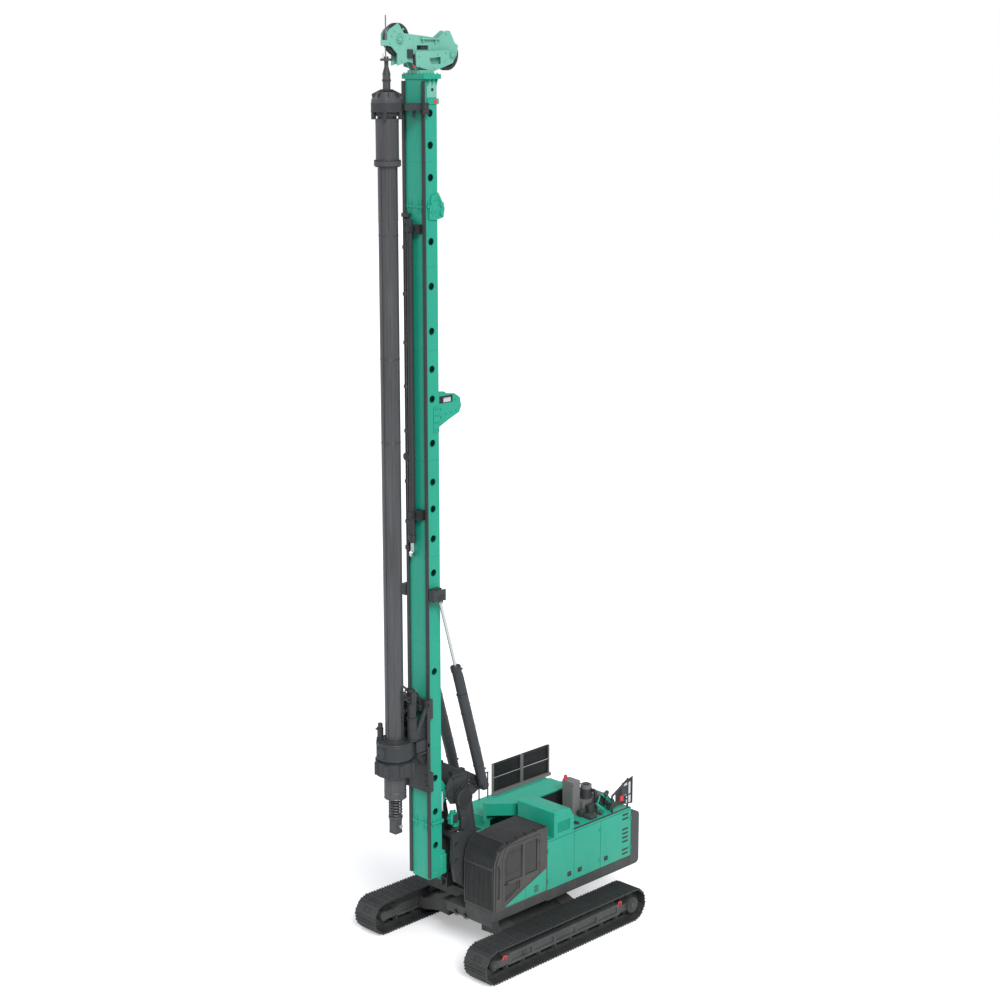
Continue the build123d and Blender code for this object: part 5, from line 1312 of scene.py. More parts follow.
def dressFeet(s):
    foot, out = s["boomFoot"], s["plateOut"]
    built("footPins", "upper", "darkPaint",
          drums=bothSides(stepped(out, foot, ((0.018, 0.085, 32), (0.01, 0.045, 6)))))
    places = ringOf((out + 0.018, *foot), (1, 0, 0), 0.064, 8)
    bolts("footPinBolts", "upper", places + mirrored(places), 0.018, 0.008, "zincPlate")
    clamped("plateHoses", "upper", [
        [(x, y0 + dy, z) for x, dy, z in (
            (0.28, 0.0, 1.36), (0.285, 0.2, 1.5), (0.285, 0.6, 1.58), (0.285, 1.0, 1.56), (0.28, 1.3, 1.4))]
        for y0 in (-1.18, -1.08)] + [
        [(-0.28, -1.15, 1.36), (-0.285, -0.9, 1.52), (-0.285, -0.5, 1.6), (-0.285, 0.0, 1.56),
         (-0.28, 0.3, 1.4)]], 0.018)
    built("deckValves", "upper", "darkPaint", [
        ((-0.2, -1.25, 1.3), (0.02, -1.02, 1.46)), ((-0.26, 0.02, 1.3), (-0.02, 0.28, 1.5)),
        ((0.08, 0.05, 1.3), (0.26, 0.26, 1.44)), ((-0.24, -0.52, 1.3), (-0.17, -0.1, 1.42))], bevel=0.01)
    built("rodFootCaps", "upper", "darkPaint", drums=bothSides([
        ((0.142, *s["luffFoot"]), (0.152, *s["luffFoot"]), 0.055, 28)]))


def dressCylinders(s):
    base, eye, radius = Vector((0, *s["cylinderBase"])), Vector((0, *s["cylinderEye"])), s["barrelRadius"]
    way = (eye - base).normalized()
    across = Vector((0, way.z, -way.y))
    rise = across * 0.15
    for side, tag in ((1, "Left"), (-1, "Right")):
        shift = Vector((side * s["cylinderX"], 0, 0))
        foot, end = base + shift, eye - way * s["rodShown"] + shift
        bm = bmesh.new()
        addDrum(bm, end - way * 0.1, end + way * 0.012, radius + 0.014, 36)
        addDrum(bm, end + way * 0.012, end + way * 0.03, radius * 0.72, 32, radius * 0.6)
        addTorus(bm, eye - way * s["barrelLength"] + shift - way * 0.02, way, 0.121, 0.01, 32)
        for d in (0.55, 1.25, 1.95):
            addTorus(bm, base + way * d + shift, way, 0.12, 0.009, 32)
        finishMesh("barrelRings" + tag, "mast_cylinder_barrels", bm, "darkPaint", True)
        bolts("glandBolts" + tag, "mast_cylinder_barrels", ringOf(end + way * 0.012, way, radius - 0.01, 10),
              0.022, 0.012, "darkPaint")
        port = [foot + way * 0.35 + across * 0.1] + [foot + way * d + rise for d in (0.38, 0.6, 1.6, 2.6)]
        port += [end - way * 0.16 + rise, end - way * 0.12 + across * 0.1]
        pipe("barrelPipe" + tag, "mast_cylinder_barrels", port, 0.014, "darkPaint")
        built("barrelPorts" + tag, "mast_cylinder_barrels", "darkPaint", drums=[
            (p + across * 0.09, p + across * 0.175, 0.026, 14)
            for p in (foot + way * 0.35, end - way * 0.13)])
        built("barrelClamps" + tag, "mast_cylinder_barrels", "zincPlate", drums=[
            (foot + way * d + across * 0.1, foot + way * d + across * 0.172, 0.02, 8)
            for d in (0.9, 1.5, 2.1)])
        rod = eye - way * 0.09 + shift
        built("rodCollar" + tag, "mast_cylinder_rods", "zincPlate",
              drums=[(rod - way * 0.06, rod, 0.052, 28)])
    outer = s["cylinderX"] + 0.081
    built("eyePins", "mast", "darkPaint", drums=bothSides(
        stepped(outer - 0.13, s["cylinderEye"], ((0.142, 0.062, 32), (0.014, 0.035, 6)))))
    places = ringOf((outer, *s["cylinderEye"]), (1, 0, 0), 0.082, 6)
    bolts("eyePinBolts", "mast", places + mirrored(places), 0.022, 0.012, "darkPaint")


bellyParts = {"inner": (0.62, 0.66), "outer": (1.52, 0.56), "halfLength": 1.02, "thick": 0.02,
              "boltHalf": 0.7,
              "boltRows": ((0.98, 0.621), (1.42, 0.572))}


def dressBelly(s):
    # dark plates that close the corners between the car body, its arms and the side frames: partly the dark
    # belly of the machine, partly painted shade for the shadowed floor the gaps would show
    plates, places = [], []
    half = s["halfLength"]
    for side in (1, -1):
        plates.append(([(side * x, y, z) for (x, z), y in (
            (s["inner"], -half), (s["outer"], -half), (s["outer"], half), (s["inner"], half))],
                       (0, 0, -s["thick"])))
        for x, z in s["boltRows"]:
            places += rowOf((side * x, -s["boltHalf"], z), (side * x, s["boltHalf"], z), 6, (0, 0, 1))
    built("bellyPlates", "undercarriage", "darkPaint", plates=plates)
    bolts("bellyBolts", "undercarriage", places, 0.034, 0.016, "darkPaint")


dressBelly(bellyParts)
dressArms(linkParts)
dressHead(linkParts)
dressFeet(linkParts)
dressCylinders(linkParts)
print("linkage dressed")

# Mast: joints with gussets, hole rims, hoses beside the crowd cylinder, brackets

mastParts = {
    "front": -2.6, "rear": -2.2, "half": 0.27, "joints": (3.33, 17.17), "jointHalf": 0.028, "top": 19.9,
    "flange": 19.8, "band": (19.285, 19.395), "holeY": -2.395,
    "holes": (2.79, 3.6, 4.4, 6.91, 9.18, 9.95, 10.62, 11.22, 12.08, 13.05, 13.7, 14.52, 15.48, 16.43,
              17.77, 18.44, 19.1),
    "holeRadius": 0.08, "crowdX": -0.07, "crowdY": -2.695,
}


def gusset(bm, corner, along, out, height, depth, thick):
    # a small three-cornered rib on a face: up or down by height, standing out along a vector
    wide, out = Vector(along) * thick, Vector(out)
    start = Vector(corner) - wide / 2
    addPlate(bm, [start, start + out * depth, start + out * 0.004 + Vector((0, 0, height))], wide)


def dressMast(s):
    front, rear, half, thick = s["front"], s["rear"], s["half"], s["jointHalf"]
    bm = bmesh.new()
    for z in s["joints"]:
        addBlock(bm, (-0.255, front - 0.014, z - thick), (0.255, front + 0.002, z + thick), 0.003)
        addBlock(bm, (-half - 0.002, rear - 0.002, z - 0.032), (half + 0.002, rear + 0.045, z + 0.032), 0.003)
        for side in (1, -1):
            low, high = sorted((side * (half - 0.002), side * (half + 0.026)))
            addBlock(bm, (low, -2.52, z - thick), (high, rear + 0.045, z + thick), 0.003)
            for y in (-2.48, -2.31, -2.24):
                for sign in (1, -1):
                    gusset(bm, (side * half, y, z + sign * thick), (0, 1, 0), (side, 0, 0),
                           sign * 0.11, 0.024, 0.014)
        for x in (-0.21, -0.11, 0.11, 0.21):
            for sign in (1, -1):
                gusset(bm, (x, front, z + sign * thick), (1, 0, 0), (0, -1, 0), sign * 0.15, 0.026, 0.014)
    finishMesh("mastJoints", "mast", bm, "machineGreen")
    places = []
    for z in s["joints"]:
        for side in (1, -1):
            x = side * (half + 0.013)
            for sign in (1, -1):
                places += rowOf((x, -2.44, z + sign * thick), (x, -2.19, z + sign * thick), 4, (0, 0, sign))
        for x, y, top, count in ((0.22, rear + 0.022, z + 0.032, 6), (0.16, front - 0.007, z + thick, 4)):
            places += rowOf((-x, y, top), (x, y, top), count, (0, 0, 1))
    bolts("mastJointBolts", "mast", places, 0.024, 0.018, "machineGreen")
    ringsOf("holeRims", "mast", "machineGreen", [
        ((side * (half + 0.001), s["holeY"], z), (1, 0, 0), s["holeRadius"] + 0.004, 0.006)
        for z in s["holes"] for side in (1, -1)])
    welds = bmesh.new()
    for z in (5.1, 7.6, 9.55, 11.7, 14.1, 15.9, 18.1):
        for side in (1, -1):
            x = side * (half + 0.0005)
            addDrum(welds, (x, -2.52, z), (x, rear, z), 0.005, 8)
        addDrum(welds, (-0.255, front - 0.0005, z), (0.255, front - 0.0005, z), 0.005, 8)
    finishMesh("mastWelds", "mast", welds, "machineGreen", True)


def dressMastTop(s):
    front, half, top, under, (low, high) = s["front"], s["half"], s["top"], s["flange"], s["band"]
    places = rowOf((-0.3, front + 0.005, top), (0.3, front + 0.005, top), 6, (0, 0, 1))
    for side in (1, -1):
        for z, way in ((top, 1), (under, -1)):
            places += rowOf((side * 0.315, -2.52, z), (side * 0.315, -2.22, z), 4, (0, 0, way))
    bolts("topFlangeBolts", "mast", places, 0.03, 0.022, "machineGreen")
    bm = bmesh.new()
    for side in (1, -1):
        for y in (-2.46, -2.34, -2.22):
            gusset(bm, (side * half, y, under), (0, 1, 0), (side, 0, 0), -0.16, 0.065, 0.014)
        x0, x1 = sorted((side * (half - 0.002), side * (half + 0.022)))
        addBlock(bm, (x0, -2.48, low), (x1, -2.155, high), 0.006)
    addBlock(bm, (-half, -2.205, low), (half, -2.145, high), 0.006)
    finishMesh("topBand", "mast", bm, "machineGreen")
    # plates in the lighter copy of the green on the mast's top sides: painted light
    built("topPlate", "mast", "paintedLitGreen",
          bothSides([((half - 0.001, -2.48, 19.42), (half + 0.005, -2.21, 19.76))]), bevel=0.002)
    built("topPort", "mast", "blackPaint",
          drums=bothSides([((half + 0.003, -2.33, 19.58), (half + 0.007, -2.33, 19.58), 0.036, 24)]))
    built("topLug", "mast", "redPaint", [((half + 0.02, -2.3, 19.31), (half + 0.034, -2.22, 19.37))],
          bevel=0.004)
    ringPipe("earEdge", "mast", [(0.3045, y, z) for y, z in (
        (-2.36, 17.3), (-2.2, 17.36), (-2.12, 17.22), (-2.1, 17.0), (-2.22, 16.95), (-2.38, 16.98))],
             0.006, "machineGreen")
    places = facing((1, 0, 0), [(0.304, y, z) for y, z in (
        (-2.3, 17.29), (-2.3, 17.05), (-2.4, 17.05), (-2.4, 17.22), (-2.2, 17.3))])
    bolts("earBolts", "mast", places + mirrored(places), 0.03, 0.016, "machineGreen")
    for name, finish, x0, x1, radius in (("earRollers", "darkPaint", 0.1, 0.268, 0.065),
                                         ("earCaps", "machineGreen", 0.32, 0.33, 0.052)):
        built(name, "mast", finish, drums=bothSides([
            ((x0, -2.115, z), (x1, -2.115, z), radius, 28) for z in (17.02, 17.2)]))


def dressCrowd(s):
    x, y, front = s["crowdX"], s["crowdY"], s["front"]
    ringsOf("crowdRings", "mast", "darkPaint", [
        ((x, y, z), (0, 0, 1), 0.07, 0.006) for z in (11.4, 12.6, 13.8, 15.0, 16.1)])
    built("crowdGland", "mast", "darkPaint", drums=[
        ((x, y, 9.885), (x, y, 10.04), 0.082, 36), ((x, y, 9.862), (x, y, 9.885), 0.062, 32)])
    places = ringOf((x, y, 10.04), (0, 0, 1), 0.074, 8)
    for z in (10.5, 16.7):
        places += facing((0, -1, 0), [(a, -2.776, z + b) for a in (-0.145, 0.005) for b in (-0.035, 0.035)])
    bolts("crowdBolts", "mast", places, 0.026, 0.014, "darkPaint")
    built("crowdEye", "crowd_rod", "zincPlate",
          drums=[((x - 0.042, y, 9.61), (x + 0.042, y, 9.61), 0.05, 28)])
    built("crowdClampBack", "mast", "blackPaint", [
        ((0.015, -2.72, 10.4), (0.235, -2.602, 10.62)), ((0.03, -2.7, 16.6), (0.22, -2.602, 16.8))],
          bevel=0.012)
    for i, (x, radius, stand) in enumerate((
            (-0.165, 0.02, 0.06), (-0.255, 0.018, 0.06), (-0.29, 0.018, 0.06), (-0.235, 0.014, 0.056))):
        points = [(x, front - stand, z) for z in (9.75 + i * 0.12, 12.0, 14.0, 16.95)]
        pipe(f"mastHose_{i + 1}", "mast", points, radius, "hoseRubber", False)
    built("hoseClips", "mast", "darkPaint", [
        ((-0.318, front - 0.088, z - 0.04), (-0.14, front - 0.001, z + 0.04))
        for z in (10.3, 11.2, 12.32, 13.3, 14.25, 15.3, 16.3)], bevel=0.006)
    built("hoseReel", "mast", "darkPaint", drums=[
        ((-0.23, front - 0.09, 11.76), (-0.23, front - 0.125, 11.76), 0.09, 32),
        ((-0.23, front - 0.125, 11.76), (-0.23, front - 0.14, 11.76), 0.035, 12)])
    pipe("bareWire", "mast", [(-0.205, front - 0.096, z) for z in (9.9, 16.9)], 0.006, "steelRope", False, 8)
    built("hoseHeader", "mast", "darkPaint", [
        ((-0.325, -2.7, 16.94), (-0.12, -2.601, 17.02)), ((-0.325, -2.69, 9.66), (-0.205, -2.601, 9.76))],
          bevel=0.008)


def dressBracket(s):
    # the bolted foot plates, the roller and the edge of the bracket on the mast's back, with a painted shade
    # and a painted glint on its side
    rear = s["rear"]
    built("bracketFeet", "mast", "machineGreen", bothSides([
        ((0.182, rear - 0.001, 12.36), (0.262, rear + 0.022, 13.14)),
        ((0.269, -2.36, 12.3), (0.284, rear + 0.004, 12.86))]), bevel=0.004)
    places = facing((0, 1, 0), [(0.222, rear + 0.022, z) for z in (12.44, 12.62, 12.8, 12.98, 13.08)])
    places += facing((1, 0, 0), [(0.284, y, z) for y in (-2.31, -2.235)
                                 for z in (12.36, 12.52, 12.68, 12.82)])
    places += facing((1, 0, 0), [(0.181, rear + out, z) for out, z in (
        (0.15, 12.6), (0.3, 12.66), (0.45, 12.68), (0.15, 12.78), (0.58, 12.95), (0.6, 12.7))])
    bolts("bracketBolts", "mast", places + mirrored(places), 0.03, 0.016, "machineGreen")
    built("bracketRoller", "mast", "chromedRod", drums=[
        ((-0.14, rear + 0.38, 12.96), (0.14, rear + 0.38, 12.96), 0.06, 36),
        ((-0.148, rear + 0.2, 13.0), (0.148, rear + 0.2, 13.0), 0.045, 32)])
    # a thin black sheet on the bracket's side is painted shade for its opening; the chrome strip on it is a
    # painted glint of the roller behind
    built("bracketWindow", "mast", "blackPaint", [((0.1805, rear + 0.1, 12.9), (0.1835, rear + 0.5, 13.06))],
          bevel=0.001)
    built("bracketShine", "mast", "chromedRod",
          [((0.183, rear + 0.22, 12.92), (0.1865, rear + 0.44, 13.02))], bevel=0.001)
    rim = ((0.02, 13.14), (0.56, 13.07), (0.71, 12.975), (0.75, 12.785), (0.69, 12.655), (0.42, 12.55),
           (0.02, 12.365))
    for side in (1, -1):
        ringPipe(f"bracketRim_{side}", "mast", [(side * 0.181, rear + out, z) for out, z in rim], 0.009,
                 "machineGreen")


def dressFoot(s):
    rear, half = s["rear"], s["half"]
    built("footBlock", "mast", "machineGreen", bothSides([
        ((half - 0.032, rear - 0.06, 2.03), (half + 0.012, rear + 0.128, 2.5)),
        ((half - 0.002, -2.46, 2.05), (half + 0.016, -2.26, 2.16))]), bevel=0.006)
    places = facing((1, 0, 0), [(half + 0.012, y, z) for y in (-2.16, -2.1) for z in (2.1, 2.28, 2.44)])
    bolts("footBolts", "mast", places + mirrored(places), 0.03, 0.014, "machineGreen")
    built("tiltRod", "mast", "chromedRod",
          drums=bothSides([((0.245, -2.165, 3.6), (0.245, -2.165, 3.98), 0.03, 24)]))
    built("tiltRodEnds", "mast", "zincPlate", drums=bothSides([
        ((0.245, -2.165, 3.98), (0.245, -2.165, 4.03), 0.036, 24),
        ((0.245, -2.165, 3.55), (0.245, -2.165, 3.6), 0.036, 24)]))
    built("tiltRodFeet", "mast", "darkPaint", bothSides([
        ((0.215, -2.202, 3.56), (0.268, -2.13, 3.6)), ((0.215, -2.202, 3.99), (0.268, -2.13, 4.03))]),
          bevel=0.004)


dressMast(mastParts)
dressMastTop(mastParts)
dressCrowd(mastParts)
dressBracket(mastParts)
dressFoot(mastParts)
print("mast dressed")

# Mast head: hubs, keepers, ribs and the rope over the front sheave

crownParts = {
    "front": (-3.08, 20.6), "rear": (-1.68, 20.3), "groove": 0.283, "rope": 0.014, "plateOut": 0.105,
    "sideOut": 0.205, "swivelTop": 20.215, "ropeEntry": (-2.475, 20.17),
}


def dressCrown(s):
    front, rear, out, side = s["front"], s["rear"], s["plateOut"], s["sideOut"]
    # the mast head's hubs, bolts, caps and rims are in the lighter copy of the green: painted light
    built("sheaveHubs", "mast", "paintedLitGreen",
          drums=bothSides(stepped(out, front, ((0.022, 0.085, 36), (0.012, 0.045, 6))) + [
              ((side, *rear), (side + 0.018, *rear), 0.07, 32), ((out, *rear), (side, *rear), 0.06, 24),
              ((side + 0.018, *rear), (side + 0.03, *rear), 0.04, 6)]))
    places = (ringOf((out + 0.022, *front), (1, 0, 0), 0.066, 8)
              + ringOf((side + 0.018, *rear), (1, 0, 0), 0.054, 6))
    places += facing((1, 0, 0), [(out, y, z) for y, z in (
        (-3.3, 20.66), (-3.22, 20.76), (-3.35, 20.52), (-2.98, 20.8), (-2.8, 20.62), (-2.84, 20.3),
        (-3.02, 20.16), (-1.76, 20.72))])
    places += facing((1, 0, 0), [(side, y, z) for y, z in (
        (-2.62, 20.26), (-2.62, 20.06), (-2.2, 20.02), (-1.9, 20.16), (-1.86, 20.34), (-2.1, 20.3))])
    bolts("crownBolts", "mast", places + mirrored(places), 0.03, 0.015, "paintedLitGreen")
    built("ropeKeepers", "mast", "darkPaint", drums=[((-0.08, y, z), (0.08, y, z), 0.013, 12) for y, z in (
        (-2.735, 20.63), (-2.8, 20.375), (-3.0, 20.24), (-1.98, 20.5), (-2.04, 20.3), (-1.6, 20.66))])
    built("crownCaps", "mast", "paintedLitGreen", bothSides([
        ((0.108, -2.5, 20.6), (0.165, -1.98, 20.63)), ((0.108, -2.46, 20.55), (0.14, -2.42, 20.66)),
        ((0.108, -2.1, 20.52), (0.14, -2.06, 20.63))]),
          bevel=0.005)
    built("crownBox", "mast", "darkPaint", [
        ((-0.074, -2.46, 20.3), (0.074, -2.2, 20.5)), ((0.107, -2.88, 20.22), (0.15, -2.74, 20.4)),
        ((0.107, -2.72, 20.1), (0.16, -2.66, 20.3))], bevel=0.012)
    built("crownSensor", "mast", "redPaint", [((0.12, -2.74, 20.03), (0.17, -2.66, 20.07))], bevel=0.006)
    ringsOf("hubRims", "mast", "paintedLitGreen", [
        ((sign * (x + 0.001), *centre), (1, 0, 0), radius, 0.008)
        for x, centre, radius in ((out, front, 0.125), (side, rear, 0.105)) for sign in (1, -1)])


def dressRope(s):
    # the rope lies in the front sheave's groove and leads down between the plates into the mast's head
    rope, r, (fy, fz), (ey, ez) = s["rope"], s["groove"] + s["rope"], s["front"], s["ropeEntry"]
    leave = math.atan2(ez - fz, ey - fy) + math.acos(r / math.hypot(ey - fy, ez - fz))
    turns = [math.pi - (math.pi - leave) * i / 14 for i in range(15)]
    over = [(0, fy + r * math.cos(t), fz + r * math.sin(t)) for t in turns]
    line = [(0, fy - r, fz - 0.02)] + over + [(0, ey, ez)]
    pipe("headRope", "mast", line, rope, "steelRope", False, 10)
    built("ropeBush", "mast", "darkPaint", drums=[((0, -2.495, 20.198), (0, -2.495, 20.235), 0.045, 28)])
    pipe("aerialSleeve", "mast", [(0.09, -3.45, 20.585), (0.09, -3.45, 21.078)], 0.0135,
         "greyPaint", False, 10)
    # the run from the sheave down to the swivel
    hanging = bmesh.new()
    levels = [fz - 0.02 - i * (fz - 0.02 - s["swivelTop"]) / 16 for i in range(17)]
    spokes = [k * math.pi / 5 for k in range(10)]
    skin(hanging, [[hanging.verts.new((rope * math.cos(t), fy - r + rope * math.sin(t), z)) for t in spokes]
                   for z in levels])
    mesh = closedMesh("hangingRope", hanging)
    mesh.materials.append(finishes["steelRope"])
    mesh.shade_smooth()
    piece = bpy.data.objects.new("hangingRope", mesh)
    bpy.context.scene.collection.objects.link(piece)
    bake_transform(piece)


dressCrown(crownParts)
dressRope(crownParts)
print("mast head dressed")

# Kelly bar: swivel, collars, fins, spring and stub

kellyParts = {
    "y": -3.36, "headTop": 19.54, "fins": 8, "springLow": 3.715, "springHigh": 4.145, "springRadius": 0.136,
    "springWire": 0.021, "springTurns": 6.0, "pinHeight": 3.49,
}


def dressKelly(s):
    y, head = s["y"], s["headTop"]
    swivel = bmesh.new()
    addDrum(swivel, (0, y, head + 0.345), (0, y, head + 0.5), 0.088, 32, 0.047)
    addDrum(swivel, (0, y, head + 0.02), (0, y, head + 0.05), 0.098, 32)
    addDrum(swivel, (0, y, head + 0.21), (0, y, head + 0.245), 0.092, 32)
    addDrum(swivel, (0, y, 20.165), (0, y, 20.2), 0.13, 36, 0.11)
    finishMesh("swivelParts", "kelly_guide", swivel, "darkPaint", True)
    built("swivelEars", "kelly_guide", "darkPaint", [
        ((-0.05, y - 0.022, 20.16), (-0.032, y + 0.022, 20.255)),
        ((0.032, y - 0.022, 20.16), (0.05, y + 0.022, 20.255))], bevel=0.004)
    pipe("swivelWire_1", "kelly_guide", [(-0.1, y, 20.21), (-0.1, y, 20.32)], 0.006, "zincPlate", False, 8)
    bolts("swivelBolts", "kelly_guide", ringOf((0, y, head + 0.245), (0, 0, 1), 0.08, 8), 0.018,
          0.012, "darkPaint")
    fins = bmesh.new()
    for i in range(s["fins"]):
        turn = i * math.pi / 4 + 0.2
        out, along = Vector((math.cos(turn), math.sin(turn), 0)), Vector((-math.sin(turn), math.cos(turn), 0))
        addPlate(fins, [Vector((0, y, 0)) + out * radius + Vector((0, 0, head + rise)) - along * 0.009
                        for radius, rise in (
            (0.112, -0.01), (0.3, -0.115), (0.315, -0.04), (0.112, 0.06))], along * 0.018)
    finishMesh("headFins", "kelly_outer", fins, "darkPaint")
    for name, z, way, radius, height in (("collarBolts", 18.14, 1, 0.262, 0.02),
                                         ("collarNuts", 18.04, -1, 0.24, 0.018)):
        bolts(name, "kelly_outer", ringOf((0, y, z), (0, 0, way), radius, 16), 0.03, height, "darkPaint")
    rings = [((0, y, z), (0, 0, 1), 0.2125, 0.006) for z in (12.2, 14.0, 16.6)]
    rings += [((0, y, z), (0, 0, 1), 0.243, 0.007) for z in (18.2, 18.95)]
    ringsOf("kellyWelds", "kelly_outer", "kellySteel", rings)
    low, high, wire = s["springLow"], s["springHigh"], s["springWire"]
    start = bpy.data.objects.new("springStart", bpy.data.meshes.new("springStart"))
    spring = grown("damperSpring", "kelly_inner", start, "spring", Turns=s["springTurns"],
                   Radius=s["springRadius"],
                   Height=high - low - 2 * wire, Wire=wire, Place=(0.0, y, low + wire),
                   Finish=finishes["kellySteel"])
    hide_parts("kelly_spring")
    built("springSeats", "kelly_inner", "kellySteel", drums=[
        ((0, y, 4.135), (0, y, 4.165), 0.149, 36), ((0, y, 3.695), (0, y, 3.716), 0.156, 36)])
    z = s["pinHeight"]
    built("stubPin", "kelly_inner", "zincPlate", drums=[
        ((-0.165, y, z), (0.165, y, z), 0.027, 20), ((0.165, y, z), (0.185, y, z), 0.045, 24),
        ((-0.165, y, z), (-0.14, y, z), 0.04, 24)])
    built("stubTrim", "kelly_inner", "kellySteel", [
        ((-0.104, y - 0.104, 3.6), (0.104, y + 0.104, 3.63)),
        ((-0.106, y - 0.106, 3.32), (0.106, y + 0.106, 3.345))], bevel=0.005)


def dressGuide(s):
    y = s["y"]
    rings = [((0, y, 19.318), (0, 0, 1), 0.322, 0.012), ((0, y, 19.145), (0, 0, 1), 0.325, 0.012),
             ((0, y, 19.065), (0, 0, 1), 0.27, 0.01)]
    ringsOf("guideRims", "kelly_guide", "darkPaint", rings)
    lugs = bmesh.new()
    for turn in (20, 70, 130, 200, 250, 310):
        a = math.radians(turn)
        centre = Vector((0.305 * math.cos(a), y + 0.305 * math.sin(a), 0))
        addDrum(lugs, centre + Vector((0, 0, 18.99)), centre + Vector((0, 0, 19.16)), 0.042, 16)
    finishMesh("guideLugs", "kelly_guide", lugs, "darkPaint", True)
    built("guideArmEdges", "kelly_guide", "darkPaint", [
        ((-0.335, -3.14, 19.298), (0.335, -2.7, 19.312)), ((-0.335, -3.1, 19.166), (0.335, -2.7, 19.18))],
          bevel=0.003)
    places = facing((1, 0, 0), [(0.396, back, z) for back in (-2.66, -2.58) for z in (19.12, 19.2, 19.28)])
    bolts("guideBolts", "kelly_guide", places + mirrored(places), 0.024, 0.012, "darkPaint")
    built("guideSprings", "kelly_guide", "darkPaint",
          drums=bothSides([((0.2, -2.78, 19.02), (0.2, -2.78, 19.17), 0.035, 18)]))


dressKelly(kellyParts)
dressGuide(kellyParts)
print("kelly bar dressed")

# Rotary drive and its sledge: rims, lobes, motors, struts, valves, clamped hoses

driveParts = {
    "y": -3.36, "top": 5.48, "ringRadius": 0.41, "lobeRadius": 0.435, "motorX": 0.285, "motorY": -3.098,
    "sledgeFace": -2.6965, "ringMotor": (-0.3, -3.515),
}


def dressRing(s):
    y, top, r = s["y"], s["top"], s["ringRadius"]
    ringsOf("driveRims", "carriage", "darkPaint", [
        ((0, y, top - 0.004), (0, 0, 1), r - 0.008, 0.013), ((0, y, top - 0.06), (0, 0, 1), r, 0.008),
        ((0, y, top - 0.372), (0, 0, 1), r - 0.004, 0.012),
        ((0, y, top - 0.45), (0, 0, 1), s["lobeRadius"] - 0.02, 0.012),
        ((0, y, 4.73), (0, 0, 1), s["lobeRadius"] - 0.02, 0.012)])
    bolts("driveTopBolts", "carriage", ringOf((0, y, top), (0, 0, 1), r - 0.045, 28), 0.028,
          0.018, "darkPaint")
    lobes = bmesh.new()
    for i in range(8):
        a = math.radians(22.5 + i * 45)
        centre = Vector((0.418 * math.cos(a), y + 0.418 * math.sin(a), 0))
        addDrum(lobes, centre + Vector((0, 0, 4.745)), centre + Vector((0, 0, 5.02)), 0.062, 20)
        addDrum(lobes, centre + Vector((0, 0, 5.02)), centre + Vector((0, 0, 5.045)), 0.04, 6)
    finishMesh("driveLobes", "carriage", lobes, "darkPaint", True)
    built("drivePlates", "carriage", "darkPaint",
          [((-0.12, y - 0.425, 5.16), (0.12, y - 0.395, 5.4))], bevel=0.008)
    places = facing((0, -1, 0), [(x, y - 0.425, z) for x in (-0.09, 0.09) for z in (5.19, 5.37)])
    bolts("drivePlateBolts", "carriage", places, 0.026, 0.014, "darkPaint")
    bolts("driveLowBolts", "carriage", ringOf((0, y, 4.72), (0, 0, -1), 0.36, 24), 0.026, 0.016, "darkPaint")
    ringsOf("sleeveRims", "drive_sleeve", "kellySteel", [
        ((0, y, 4.155), (0, 0, 1), 0.245, 0.012), ((0, y, 4.3), (0, 0, 1), 0.249, 0.006),
        ((0, y, 4.62), (0, 0, 1), 0.249, 0.006)])


def dressMotors(s):
    top, mx, my = s["top"], s["motorX"], s["motorY"]
    bm = bmesh.new()
    for side in (1, -1):
        x = side * mx
        for z0, z1, r in ((top + 0.5, top + 0.53, 0.122), (top, top + 0.03, 0.124),
                          (top + 0.25, top + 0.27, 0.114),
                          (top + 0.84, top + 0.865, 0.102), (top + 0.6, top + 0.615, 0.098)):
            addDrum(bm, (x, my, z0), (x, my, z1), r, 36)
        addBlock(bm, (x - 0.05, my - 0.1, top + 1.125), (x + 0.05, my + 0.05, top + 1.175), 0.012)
        addDrum(bm, (x, my - 0.06, top + 1.0), (x, my - 0.125, top + 1.0), 0.035, 20)
        addDrum(bm, (x, my - 0.06, top + 0.92), (x, my - 0.115, top + 0.92), 0.028, 20)
    finishMesh("motorParts", "carriage", bm, "darkPaint", True)
    bx, by = s["ringMotor"]
    built("ringMotor", "carriage", "darkPaint",
          [((bx - 0.07, by - 0.045, top + 0.2), (bx + 0.06, by + 0.045, top + 0.27))],
          [((bx, by, top - 0.002), (bx, by, top + 0.03), 0.088, 32),
           ((bx, by, top + 0.02), (bx, by, top + 0.24), 0.07, 32),
           ((bx, by, top + 0.24), (bx, by, top + 0.36), 0.055, 28),
           ((bx - 0.03, by - 0.04, top + 0.24), (bx - 0.03, by - 0.1, top + 0.24), 0.022, 16)],
          bevel=0.008)
    places = []
    for side in (1, -1):
        places += ringOf((side * mx, my, top + 0.53), (0, 0, 1), 0.108,
                         10) + ringOf((side * mx, my, top + 0.03), (0, 0, 1), 0.112, 12)
    bolts("motorBolts", "carriage", places, 0.022, 0.014, "darkPaint")
    face = s["sledgeFace"]
    routes = []
    for side in (1, -1):
        x = side * mx
        for dx, z, rise in ((0.0, top + 1.0, 0.2), (0.05 * side, top + 0.92, 0.1)):
            routes.append([(x + dx, my - 0.12, z), (x + dx * 1.5, my - 0.2, z + rise * 0.5),
                           (x * 0.75, my - 0.12, z + rise),
                           (x * 0.6, my + 0.1, z + rise * 0.9), (x * 0.55, face - 0.06, z - 0.06),
                           (x * 0.55, face - 0.03, z - 0.28)])
    clamped("driveHoses", "carriage", routes, 0.022)


